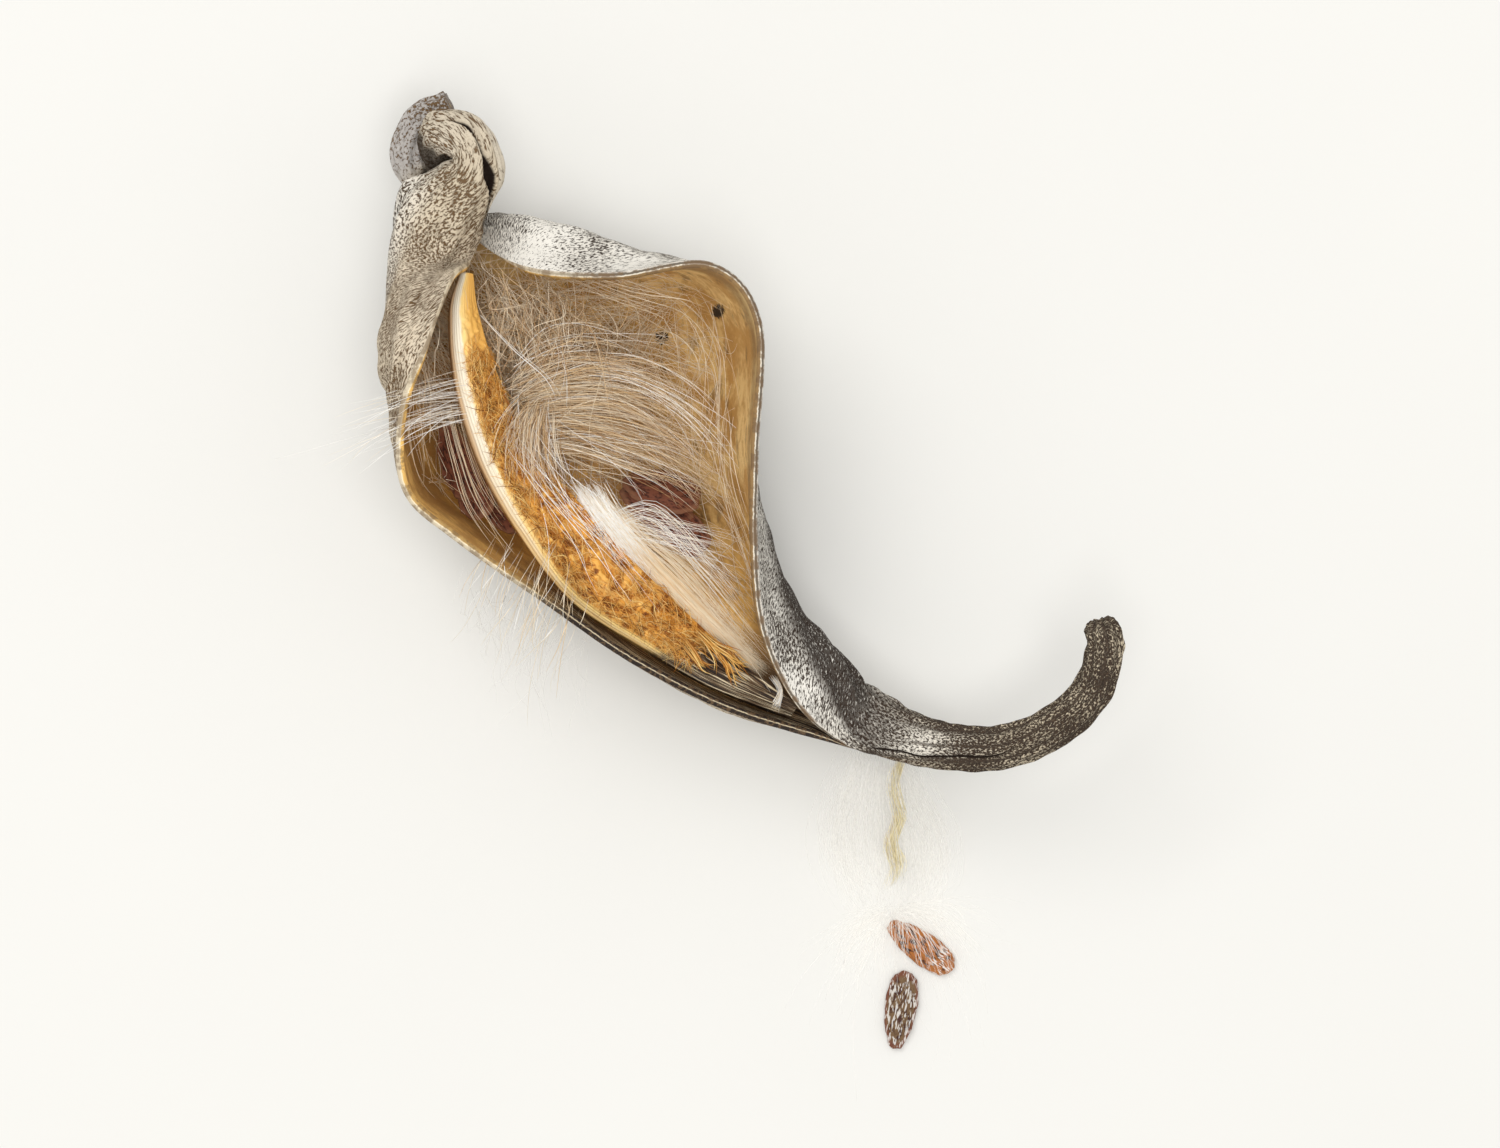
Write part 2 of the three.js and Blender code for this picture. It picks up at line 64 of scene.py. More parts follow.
# The stalk and neck: centre, radius and the angle of the suture round the tube, in degrees.
NECK = [
    ((-30.7, 47.2, 12.5), 1.6, 40), ((-33.7, 45.8, 12.0), 1.65, 40), ((-35.1, 42.2, 12.0), 1.7, 40),
    ((-33.4, 39.6, 12.2), 1.7, 40), ((-31.2, 40.6, 13.4), 1.75, 40), ((-31.8, 42.9, 17.2), 1.9, 40),
    ((-31.0, 44.2, 21.4), 2.2, 40), ((-28.6, 43.4, 23.6), 2.5, 40), ((-27.4, 40.6, 22.8), 2.7, 35),
    ((-29.6, 37.8, 20.4), 3.7, 22), ((-31.8, 34.8, 18.0), 4.7, 10),
]
TAIL = [
    ((11.2, -14.8, 16.0), 3.2, 165), ((15.5, -16.6, 16.2), 2.7, 158),
    ((20.3, -17.5, 17.2), 2.35, 150), ((25.3, -17.3, 18.8), 2.15, 145),
    ((30.1, -15.2, 20.4), 2.0, 140), ((33.6, -11.8, 21.6), 1.9, 140),
    ((34.9, -7.6, 22.4), 1.8, 140), ((34.6, -5.4, 22.8), 1.7, 140),
    ((34.4, -4.6, 22.9), 0.9, 140),
]
# The two valves, from left rim over left flank, left belly, keel, right belly and right flank to
# right rim.
VALVES = [
    [(-30.1, 29.8, 23.5), (-34.2, 28.5, 24.0), (-36.9, 27.2, 17.5), (-35.6, 27.0, 8.5),
     (-29.3, 29.8, 6.0), (-23.2, 36.2, 15.5), (-22.6, 30.5, 24.5)],
    [(-32.4, 23.5, 26.5), (-35.7, 22.2, 26.0), (-37.2, 20.4, 15.0), (-29.1, 21.6, 2.0),
     (-20.9, 27.2, 4.5), (-13.2, 33.1, 17.0), (-14.1, 29.8, 28.0)],
    [(-35.2, 16.2, 27.5), (-36.4, 15.8, 20.0), (-33.7, 14.5, 7.0), (-25.9, 16.6, 0.3),
     (-15.9, 22.2, 0.6), (-6.4, 29.2, 12.0), (-4.3, 30.8, 28.0)],
    [(-34.9, 8.2, 27.0), (-34.4, 8.2, 16.0), (-30.9, 8.2, 5.0), (-21.6, 10.8, -0.3),
     (-11.6, 15.4, 0.3), (-2.0, 21.6, 12.0), (0.7, 25.0, 27.2)],
    [(-29.7, 3.2, 26.0), (-28.9, 3.5, 15.5), (-25.3, 4.1, 5.0), (-17.2, 6.0, 0.0),
     (-8.7, 8.5, 1.2), (-1.6, 11.2, 12.5), (0.4, 12.2, 25.5)],
    [(-21.2, -2.8, 24.0), (-20.6, -2.5, 14.0), (-17.6, -1.5, 5.0), (-10.9, -0.2, 0.5),
     (-4.1, 2.2, 4.0), (1.3, 4.1, 13.5), (0.3, 2.9, 24.5)],
    [(-12.2, -9.0, 22.0), (-11.9, -8.8, 13.5), (-8.7, -8.0, 6.5), (-2.4, -6.2, 4.0),
     (2.4, -4.4, 7.0), (4.5, -3.3, 14.5), (1.2, -5.6, 23.0)],
    [(-2.2, -14.0, 19.5), (-1.9, -14.0, 13.0), (1.6, -13.0, 8.5), (5.9, -10.5, 8.0),
     (8.8, -8.4, 11.5), (8.1, -9.2, 17.5), (4.7, -13.1, 20.5)],
]
# The placenta, from its left edge over the ivory rib and the golden face to its right edge.
PLACENTA = [
    [(-29.5, 30.1, 19.2), (-29.0, 30.1, 19.6), (-28.6, 30.1, 19.3), (-28.2, 30.0, 18.8)],
    [(-30.4, 26.0, 21.0), (-29.6, 26.0, 21.6), (-28.6, 26.0, 21.2), (-27.6, 26.0, 19.6)],
    [(-29.7, 18.5, 22.0), (-28.6, 18.6, 22.7), (-27.4, 18.8, 22.0), (-25.6, 19.4, 19.4)],
    [(-27.4, 11.0, 22.0), (-26.3, 11.4, 22.8), (-25.2, 11.9, 22.0), (-22.9, 13.1, 19.2)],
    [(-23.6, 4.2, 21.6), (-22.6, 4.8, 22.4), (-21.7, 5.6, 21.5), (-18.2, 7.8, 18.6)],
    [(-18.3, -2.7, 20.6), (-17.5, -2.1, 21.4), (-16.6, -1.3, 20.5), (-12.9, 2.0, 17.4)],
    [(-11.0, -7.5, 19.6), (-10.5, -6.9, 20.3), (-9.8, -6.2, 19.4), (-7.2, -3.6, 16.2)],
    [(-5.3, -10.9, 18.2), (-4.8, -10.4, 18.6), (-4.2, -9.8, 18.1), (-2.2, -8.2, 15.6)],
    [(0.3, -13.2, 17.4), (0.6, -12.8, 17.6), (1.0, -12.4, 17.3), (1.9, -11.3, 15.8)],
    [(3.6, -14.4, 17.0), (3.8, -14.1, 17.1), (4.0, -13.8, 17.0), (4.4, -13.3, 16.5)],
]
# The paths of the shreds at the lower end of the golden face.
SHREDS = [
    [(-6.0, -5.6, 18.2), (-4.6, -7.0, 18.6), (-3.6, -8.3, 18.7), (-3.3, -9.2, 18.4)],
    [(-5.4, -6.0, 18.2), (-4.0, -7.2, 18.8), (-2.6, -8.0, 18.9), (-1.3, -8.9, 18.4)],
    [(-7.4, -6.4, 18.9), (-6.2, -8.0, 19.2), (-5.4, -9.1, 19.1), (-4.4, -9.4, 18.8)],
    [(-3.2, -7.0, 17.6), (-2.2, -8.3, 18.2), (-1.4, -9.2, 18.1), (-0.6, -9.4, 17.8)],
    [(-3.7, -8.0, 18.2), (-2.8, -9.0, 18.7), (-2.4, -10.2, 18.6), (-1.8, -10.7, 18.2)],
]
# A place on the husk is a pair: t counts the rings from the stalk's end, and s runs round a ring,
# from 0 at the left rim to RIM_END at the right rim.
RIM_END = 6
# The neck's last ring gapes by that angle, and the suture is split a little above it.
GAPE = 38
SLIT = 2 / 3
# Points of the husk's mesh: rows in the neck, the valves and the tail, and columns round the
# outside, round the lining and over a rim.
NECK_ROWS, VALVE_ROWS, TAIL_ROWS = 92, 182, 84
SKIN_COLUMNS, LINING_COLUMNS = 180, 92
RIM_SHARES = np.array([0.22, 0.5, 0.78])
# The husk's relief, in mm: its ridges, the net of low bumps, the wool, the neck's crack, the shut
# suture along the tail, and the furrow beside the suture's ends.
RIDGES = 8
RIDGE_HEIGHT, BUMP_HEIGHT, WOOL_HEIGHT = 0.28, 0.14, 0.11
CRACK_DEPTH, SEAM_DEPTH, FURROW_DEPTH = 1.3, 0.3, 0.45
RIM_BULGE = 0.32
# Dark spots on the lining, and the painted shade in the eye of the hooked neck: a place and a radius.
LINING_SPOTS = ((-9.0, 24.05, 0), 0.68), ((-3.2, 26.4, 0), 0.66)
HOOK_EYE_SHADE = (-32.0, 42.0, 0), 2.7
# Rows and columns of the placenta's mesh.
PLACENTA_ROWS, PLACENTA_COLUMNS = 420, 54
RIB_THICKNESS = 1.1
# The golden fibres: their ranges along and across the placenta, their lengths and their radii.
NET_ALONG, NET_ACROSS = (0.17, 0.74), (0.44, 1.0)
FIBRE_REACH, FIBRE_RADII = (0.8, 3.6), (0.016, 0.045)
# Points along a golden fibre and along a strand of silk, the silk's radii, how high it lies off the
# lining and off the surface below the pod, and the step round the husk that matches one along it.
FIBRE_BENDS, BENDS = 7, 12
SILK_RADII = 0.022, 0.034, 0.05
SILK_LIFT, LEAST_HEIGHT = 1.35, 0.12
ROUND_STEP = 0.62
# The seeds: sizes, how blunt their ends are, and the rings and columns of their meshes.
SEED_LENGTH, SEED_WIDTH, SEED_NARROW = 7.6, 4.7, 3.3
SEED_BLUNT = 0.75
SEED_RINGS, SEED_AROUND = 26, 80
# Each seed's middle, heading, roll and pitch, the last three in degrees.
UPPER_SEED = [((17.2, -38.4, 0.55), 144, 0, 0)]
LOWER_SEED = [((15.0, -44.6, 0.55), 262, 0, 0)]
RIGHT_SEEDS = [
    ((-9.8, 6.6, 9.2), 150, 22, 0), ((-7.8, 4.8, 9.5), 136, 30, 4), ((-9.2, 8.4, 9.3), 168, 28, -4),
]
LEFT_SEEDS = [
    ((-29.8, 11.0, 14.8), 110, -36, 0), ((-28.1, 9.2, 14.6), 95, -30, 8),
    ((-25.9, 7.4, 14.9), 128, -34, 0),
]


def smooth(low, high, value):
    """0 below low, 1 above high, and smooth between."""
    w = np.clip((value - low) / (high - low), 0, 1)
    return w * w * (3 - 2 * w)


def unit(vectors):
    length = np.linalg.norm(vectors, axis=-1, keepdims=True)
    return vectors / np.maximum(length, 1e-9)


def extended(points):
    """The points with one more at each end, on the line through the last two."""
    return np.concatenate([2 * points[:1] - points[1:2], points, 2 * points[-1:] - points[-2:-1]])


def cubic(a, b, c, d, w):
    """The smooth curve through b and c, whose neighbours are a and d, at the share w from b to c."""
    return 0.5 * (
        2 * b + (c - a) * w + (2 * a - 5 * b + 4 * c - d) * w**2 + (3 * b - a - 3 * c + d) * w**3
    )


def spline(points, where):
    """Places on the smooth curve through points, whose first axis is counted from 0 by where."""
    points = np.asarray(points, float)
    padded = extended(points)
    where = np.asarray(where, float)
    k = np.clip(np.floor(where).astype(int), 0, len(points) - 2)
    w = (where - k).reshape(where.shape + (1,) * (points.ndim - 1))
    return cubic(*(padded[k + j] for j in range(4)), w)


def net(sections, t, s):
    """Places on the smooth surface through sections, for each pair of t and s."""
    t, s = np.broadcast_arrays(np.asarray(t, float), np.asarray(s, float))
    flat_s = s.ravel()
    rails = spline(sections, t.ravel()).swapaxes(0, 1)
    padded = extended(rails)
    k = np.clip(np.floor(flat_s).astype(int), 0, len(rails) - 2)
    row = np.arange(len(k))
    p = cubic(*(padded[k + j, row] for j in range(4)), (flat_s - k)[:, None])
    return p.reshape(t.shape + (3,))


def normals(surface, t, s, t_end, s_end):
    """The direction square to a surface, one way at each pair of t and s."""
    step = 0.02
    along = surface(np.minimum(t + step, t_end), s) - surface(np.maximum(t - step, 0), s)
    across = surface(t, np.minimum(s + step, s_end)) - surface(t, np.maximum(s - step, 0))
    return unit(np.cross(along, across))


def tube_rings(stations, last_first, zero, gape=0):
    """Rings of seven points round a tube's centres, each with both ends on the suture. The last
    ring's ends stand apart by gape degrees."""
    centres = np.array([at for at, _, _ in stations])
    step = 0.01
    where = np.arange(len(stations), dtype=float)
    along = unit(
        spline(centres, np.minimum(where + step, len(stations) - 1))
        - spline(centres, np.maximum(where - step, 0))
    )
    rings = [None] * len(stations)
    order = range(len(stations))
    zero = np.array(zero, float)
    for k in reversed(order) if last_first else order:
        zero = unit(zero - along[k] * zero.dot(along[k]))
        up = np.cross(along[k], zero)
        _, radius, seam = stations[k]
        gap = gape if k == len(stations) - 1 else 0
        angles = np.radians(seam + gap / 2 + (360 - gap) / 6 * np.arange(7))[:, None]
        rings[k] = centres[k] + radius * (np.cos(angles) * zero + np.sin(angles) * up)
    return rings


HUSK = np.array([
    *tube_rings(NECK, True, (1, 0, 0), GAPE),
    *np.array(VALVES),
    *tube_rings(TAIL, False, (0.6, 0.8, 0)),
])
OPENS = len(NECK) - 1 - SLIT
CLOSES = len(NECK) + len(VALVES)
HUSK_END = len(HUSK) - 1


def lumps(points, size, seed=0):
    """Smooth noise from -1 to 1, in lumps of that size, at each of the points."""
    p = np.asarray(points, float) / size + 1000.5
    cell = np.floor(p).astype(np.int64)
    w = p - cell
    w = w * w * (3 - 2 * w)
    total = 0
    for corner in product((0, 1), repeat=3):
        at = cell + np.array(corner)
        mixed = at[..., 0] * 374761393 + at[..., 1] * 668265263 + at[..., 2] * 974634777
        mixed = (mixed + seed * 144665) & 0x7FFFFFFF
        mixed = ((mixed ^ (mixed >> 13)) * 1274126177) & 0x7FFFFFFF
        value = ((mixed ^ (mixed >> 16)) & 0xFFFF) / 32767.5 - 1
        share = np.prod(np.where(np.array(corner) == 1, w, 1 - w), axis=-1)
        total = total + value * share
    return total


def rough(points, size, seed=0):
    """Two sizes of lumps together."""
    return (lumps(points, size, seed) + 0.5 * lumps(points, size / 2.3, seed + 1)) / 1.3


def husk_face(t, s):
    """The husk's outer side before its relief, flattened where it rests."""
    p = net(HUSK, t, s)
    p[..., 2] = np.maximum(p[..., 2], 0)
    return p


def husk_inward(t, s):
    return normals(husk_face, t, s, HUSK_END, RIM_END)


def stacked(*parts):
    """Vectors whose numbers are the parts, which may be of any shapes that fit together."""
    return np.stack(np.broadcast_arrays(*parts), axis=-1)


def numbered(count, rows, columns):
    """A grid of point numbers that go on from count."""
    return count + np.arange(rows * columns).reshape(rows, columns)


def quads(ids):
    """The corners of the cells of a grid of point numbers."""
    cells = np.stack([ids[:-1, :-1], ids[1:, :-1], ids[1:, 1:], ids[:-1, 1:]], axis=-1)
    return cells.reshape(-1, 4)


def wrapped(ids):
    """The grid with its first column once more at the end, so that it closes into a tube."""
    return np.concatenate([ids, ids[:, :1]], axis=1)


def trimmed(faces, points, *fields):
    """The mesh without the points that no face uses."""
    used = np.array(sorted({corner for face in faces for corner in face}))
    renumber = np.full(len(points), -1)
    renumber[used] = np.arange(len(used))
    return [renumber[face].tolist() for face in faces], points[used], *(f[used] for f in fields)


def make_piece(name, slot, node, points, faces, materials, slots=None, **fields):
    """A mesh object from points in millimetres, which may stand for a node. Its fields are kept as
    attributes."""
    mesh = bpy.data.meshes.new(name)
    places = (points.reshape(-1, 3) + TO_MIDDLE) * MM
    mesh.from_pydata(places.tolist(), [], faces)
    for material in materials:
        mesh.materials.append(material)
    if slots is not None:
        mesh.polygons.foreach_set("material_index", np.asarray(slots, np.int32))
    for key, values in fields.items():
        attribute = mesh.attributes.new(key, "FLOAT_VECTOR", "POINT")
        attribute.data.foreach_set("vector", np.asarray(values, np.float32).ravel())
    mesh.polygons.foreach_set("use_smooth", np.ones(len(mesh.polygons), bool))
    mesh.update()
    piece = bpy.data.objects.new(name, mesh)
    bpy.context.scene.collection.objects.link(piece)
    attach(piece, "root")
    if node:
        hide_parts(node)
    return piece


def without_repeats(cells):
    """Faces with each corner once, and the number of each one's cell. Those left with fewer than
    three corners go."""
    same = (cells == np.roll(cells, 1, axis=1)).any(axis=1)
    faces = cells[~same].tolist()
    marks = (~same).nonzero()[0].tolist()
    for k in same.nonzero()[0]:
        corners = list(dict.fromkeys(cells[k].tolist()))
        if len(corners) > 2:
            faces.append(corners)
            marks.append(k)
    return faces, np.array(marks)


# Husk


def crack(t, s):
    """How open the neck's crack stands, from 0 to 1: a slit that widens to a small hole."""
    line = np.interp(t, [6.4, 7.0, 7.7, 8.2, 8.8, 9.4], [1.25, 1.0, 0.62, 0.36, 0.1, 0.0])
    width = np.interp(t, [6.5, 6.9, 7.6, 7.95, 8.3, 9.0, 9.6], [0, 0.1, 0.13, 0.34, 0.14, 0.08, 0])
    return (1 - smooth(0.4, 1, np.abs(s - line) / np.maximum(width, 1e-3))) * (t < OPENS)


def closed_seam(t, s):
    """How near a place is to the shut part of the suture, which runs on along the tail."""
    middle = 5.55 + 0.05 * np.sin(t * 5)
    along = smooth(CLOSES - 0.1, CLOSES + 0.5, t) * (1 - smooth(CLOSES + 2.2, CLOSES + 4.0, t))
    return along * (1 - smooth(0, 0.13, np.abs(s - middle)))


def husk_relief(t, s, face, grain):
    """Ridges along the pod, a net of low bumps, and the wool's own unevenness, in mm."""
    from_rim = np.minimum(s, RIM_END - s)
    fade = smooth(0, 0.7, from_rim) * smooth(0, 1.5, face[..., 2])
    tube = (t < OPENS) | (t > CLOSES)
    slender = np.where(tube, 0.55, 1)
    wander = 0.5 * np.sin(t * 1.3) + 0.25 * np.sin(t * 3.1 + s)
    ridge = np.sin(2 * math.pi * RIDGES * s / RIM_END + wander)
    bumps = np.sin(t * 9 + 2 * np.sin(s * 5)) * np.sin(s * 11 + t * 2)
    near_end = np.minimum(np.abs(t - OPENS), np.abs(t - CLOSES))
    cut = tube * smooth(0, 0.8, near_end) * FURROW_DEPTH * (1 - smooth(0, 0.22, from_rim))
    cut = cut + CRACK_DEPTH * crack(t, s) + SEAM_DEPTH * closed_seam(t, s)
    stretched = grain * np.array([0.35, 1, 1])
    wool = 0.5 * rough(stretched, 0.9, 3) + 0.5 * rough(face, 1.1, 5)
    sound = smooth(0, 0.5, face[..., 2])
    edge = 0.35 + 0.65 * smooth(0, 0.4, from_rim)
    low = RIDGE_HEIGHT * ridge + BUMP_HEIGHT * bumps
    return slender * fade * low - cut + WOOL_HEIGHT * sound * edge * wool


def husk_grid(t, columns, along=None):
    """Places over the husk, the points there, the ways inward, and the grain: how far each point
    lies along the pod and across from its keel, in mm."""
    places = np.meshgrid(t, np.linspace(0, RIM_END, columns), indexing="ij")
    face = husk_face(*places)
    middle = columns // 2
    if along is None:
        step = np.linalg.norm(np.diff(face[:, middle], axis=0), axis=1)
        along = np.concatenate([[0], np.cumsum(step)])
    step = np.linalg.norm(np.diff(face, axis=1), axis=2)
    across = np.concatenate([np.zeros((len(t), 1)), np.cumsum(step, axis=1)], axis=1)
    across -= across[:, middle:middle + 1]
    return *places, face, husk_inward(*places), stacked(along[:, None], across, 0)


def husk_outside(t):
    """The outer skin's points, with their fields."""
    tt, ss, face, inward, grain = husk_grid(t, SKIN_COLUMNS)
    outer = face - inward * husk_relief(tt, ss, face, grain)[..., None]
    outer[..., 2] = np.maximum(outer[..., 2], 0)
    # The third number marks the suture, which the skin paints dark; in the open crack that dark is
    # painted shade.
    place = stacked(tt, ss, -np.maximum(crack(tt, ss), 0.7 * closed_seam(tt, ss)))
    return outer, place, grain


def husk_inside(t, along, suture, sizes):
    """The lining's points, with their fields. At both ends it closes onto the suture."""
    tt, ss, face, inward, grain = husk_grid(t, LINING_COLUMNS, along)
    from_rim = np.minimum(ss, RIM_END - ss)
    wall = sizes.rim_wall + (sizes.wall - sizes.rim_wall) * smooth(0, 0.8, from_rim)
    papery = 0.09 * rough(grain * np.array([1, 0.45, 1]), 1.9, 11) + 0.1 * lumps(face, 4.5, 13)
    calm = smooth(0, 0.5, from_rim)
    lining = face + inward * (wall + papery * calm)[..., None]
    from_end = np.minimum(tt - OPENS, CLOSES - tt)
    closing = (1 - smooth(0, 0.5, from_end))[..., None]
    lining = lining * (1 - closing) + suture[:, None] * closing
    return lining, stacked(tt, ss, 1.0), grain


def build_husk(scene):
    valves = np.linspace(OPENS, CLOSES, VALVE_ROWS)
    t = np.concatenate(
        [np.linspace(0, OPENS, NECK_ROWS), valves[1:-1], np.linspace(CLOSES, HUSK_END, TAIL_ROWS)]
    )
    opens, closes = NECK_ROWS - 1, NECK_ROWS + VALVE_ROWS - 2
    rows = slice(opens, closes + 1)
    outer, place, grain = husk_outside(t)
    along = grain[:, 0, 0]
    suture = (outer[rows, 0] + outer[rows, -1]) / 2
    lining, place_in, grain_in = husk_inside(t[rows], along[rows], suture, scene.pod_sizes)

    outer_ids = numbered(0, *outer.shape[:2])
    closed = np.r_[0:opens + 1, closes:len(t)]
    outer_ids[closed, -1] = outer_ids[closed, 0]
    inner_ids = numbered(outer_ids.size, *lining.shape[:2])
    inner_ids[0] = outer_ids[opens, 0]
    inner_ids[-1] = outer_ids[closes, 0]
    count = outer_ids.size + inner_ids.size
    points, places, grains = [outer, lining], [place, place_in], [grain, grain_in]
    cells = [quads(outer_ids)[:, ::-1], quads(inner_ids)]

    w = RIM_SHARES[None, :, None]
    for side, next_in in ((0, 1), (-1, -2)):
        a, b = outer[rows, side], lining[:, side]
        away = unit(a - outer[rows, next_in])
        thick = np.linalg.norm(b - a, axis=1)[:, None, None]
        bulge = RIM_BULGE * np.sin(math.pi * w) * thick
        strip = a[:, None] * (1 - w) + b[:, None] * w + away[:, None] * bulge
        ids = numbered(count, *strip.shape[:2])
        count += ids.size
        ids = np.column_stack([outer_ids[rows, side], ids, inner_ids[:, side]])
        ids[0] = outer_ids[opens, 0]
        ids[-1] = outer_ids[closes, 0]
        cells.append(quads(ids) if side == 0 else quads(ids)[:, ::-1])
        points.append(strip)
        places.append(stacked(t[rows, None], RIM_END * (side != 0), RIM_SHARES))
        grains.append(np.repeat(grain[rows, side], len(RIM_SHARES), axis=0))

    faces, marks = without_repeats(np.concatenate(cells))
    kind = np.repeat([0, 1, 2, 2], [len(part) for part in cells])
    slots = kind[marks].tolist()
    for row, turn in ((0, -1), (len(t) - 1, 1)):
        ring = outer_ids[row, :-1]
        points.append(outer[row, :-1].mean(axis=0))
        places.append(np.array([t[row], 3, 2]))
        grains.append(np.array([along[row], 0, 0]))
        for corner, following in zip(ring, np.roll(ring, -1)):
            faces.append([count, *(corner, following)[::turn]])
            slots.append(0)
        count += 1
    lists = (points, places, grains)
    joined = [np.concatenate([part.reshape(-1, 3) for part in parts]) for parts in lists]
    faces, points, places, grains = trimmed(faces, *joined)
    materials = [husk_skin(), husk_lining(), husk_rim()]
    make_piece("pod_husk", "husk", "husk", points, faces, materials, slots,
               place=places, grain=grains)


# Placenta


def placenta_relief(u, v, p):
    """The golden face's torn net, the rib's fine lines and the end strip's streaks, in mm."""
    golden = smooth(0.36, 0.5, v) * smooth(0.06, 0.16, u) * (1 - smooth(0.74, 0.8, u))
    streaked = smooth(0.7, 0.8, u)
    torn = 0.45 * rough(p, 0.95, 21) + 0.34 * np.abs(lumps(p, 0.7, 23)) - 0.14
    lines = 0.035 * np.sin(v * 70 + 3 * lumps(p, 3.0, 25)) + 0.05 * lumps(p, 2.2, 27)
    streaks = 0.16 * np.sin(v * 36 + 2.5 * lumps(p, 2.5, 29)) + 0.05 * lumps(p, 0.6, 31)
    rib = (1 - golden) * (1 - streaked)
    return golden * torn + rib * lines + streaked * streaks * (1 - golden)


def placenta_point(u, v):
    """A place on the placenta: u runs from its top to its lower end, and v from left to right."""
    return net(PLACENTA, u * (len(PLACENTA) - 1), v * 3)


def build_placenta(scene):
    u, v = np.meshgrid(
        np.linspace(0, 1, PLACENTA_ROWS), np.linspace(0, 1, PLACENTA_COLUMNS), indexing="ij"
    )
    p = placenta_point(u, v)
    out = normals(placenta_point, u, v, 1, 1)
    side = smooth(0, 0.04, v) * (1 - smooth(0.96, 1, v))
    top = p + out * (side * placenta_relief(u, v, p))[..., None]
    up = unit(out.sum(axis=1))[:, None]
    bottom = (p - up * RIB_THICKNESS)[:, ::-1]
    place = stacked(u, v, 0)
    ids = numbered(0, PLACENTA_ROWS, 2 * PLACENTA_COLUMNS)
    faces = quads(wrapped(ids)).tolist()
    for ring, turn in ((ids[0].tolist(), 1), (ids[-1].tolist(), -1)):
        for k in range(PLACENTA_COLUMNS - 1):
            faces.append([ring[k], ring[k + 1], ring[-2 - k], ring[-1 - k]][::turn])
    make_piece("placenta_rib", "placenta", "placenta", np.concatenate([top, bottom], axis=1), faces,
               [placenta_skin()], place=np.concatenate([place, place[:, ::-1]], axis=1))
    build_golden_net(scene)


def build_golden_net(scene):
    """The torn fibres that cover the golden face, and the shreds at its lower end."""
    rng = np.random.default_rng(41)
    count = scene.pod_sizes.net_fibres
    u = rng.uniform(*NET_ALONG, count)
    v = rng.uniform(*NET_ACROSS, count)
    turn = rng.normal(0, 0.75, count)
    reach = rng.uniform(*FIBRE_REACH, count)
    w = np.linspace(-0.5, 0.5, FIBRE_BENDS)
    middle = placenta_point(u, v)
    out = face_out(u, v)
    flat = unit(placenta_point(u + 0.02, v) - middle)
    cross = np.cross(out, flat)
    way = np.cos(turn)[:, None] * flat + np.sin(turn)[:, None] * cross
    curl = rng.normal(0, 0.3, (count, 1))
    lift = rng.uniform(0.0, 0.5, (count, 1))
    arch = lift * (0.3 + 0.7 * (1 - (2 * w) ** 2)) + rng.normal(0, 0.06, (count, FIBRE_BENDS))
    paths = (
        middle[:, None]
        + way[:, None] * (reach[:, None] * w)[..., None]
        + np.cross(out, way)[:, None] * (curl * (2 * w) ** 2)[..., None]
        + out[:, None] * arch[..., None]
    )
    radius = rng.uniform(*FIBRE_RADII, (count, 1)) * (1 - 0.6 * np.abs(2 * w)) * scene.pod_sizes.hair
    fibre = golden_fibre()
    strands("placenta_net", "placenta", None, paths, radius, fibre, rng)
    ribbons = np.concatenate([locks(rng, [shred, shred], 16, 0.5, 0.9) for shred in SHREDS])
    width = 0.06 * np.sin(np.linspace(0.15, math.pi - 0.2, ribbons.shape[1]))
    strands("placenta_shreds", "placenta", None, ribbons, width, fibre, rng)


def face_out(u, v):
    """The way out of the placenta's face, always upwards."""
    out = normals(placenta_point, u, v, 1, 1)
    return np.where(out[..., 2:3] < 0, -out, out)


# Silk


def strands(name, slot, node, paths, radius, material, rng):
    """Fine closed fibres along the paths, all in one mesh. Each carries a number for its tint, how
    far along it a point is, and a second number."""
    count, bends, _ = paths.shape
    along = unit(np.gradient(paths, axis=1))
    side = unit(np.cross(along, unit(rng.normal(size=(count, 1, 3)))))
    up = np.cross(along, side)
    angles = (np.arange(3) * 2 * math.pi / 3)[:, None]
    ring = side[:, :, None] * np.cos(angles) + up[:, :, None] * np.sin(angles)
    radius = np.broadcast_to(radius, (count, bends))
    points = paths[:, :, None] + ring * radius[:, :, None, None]
    ids = np.arange(count * bends * 3).reshape(count, bends, 3)
    turned = np.roll(ids, -1, axis=2)
    sides = np.stack([ids[:, :-1], turned[:, :-1], turned[:, 1:], ids[:, 1:]], axis=-1)
    faces = sides.reshape(-1, 4).tolist() + ids[:, 0, ::-1].tolist() + ids[:, -1].tolist()
    tint, other = (rng.uniform(0, 1, (count, 1, 1)) for _ in range(2))
    run = np.linspace(0, 1, bends)[:, None]
    field = stacked(tint, run, other + np.zeros(3))
    return make_piece(name, slot, node, points, faces, [material], strand=field)


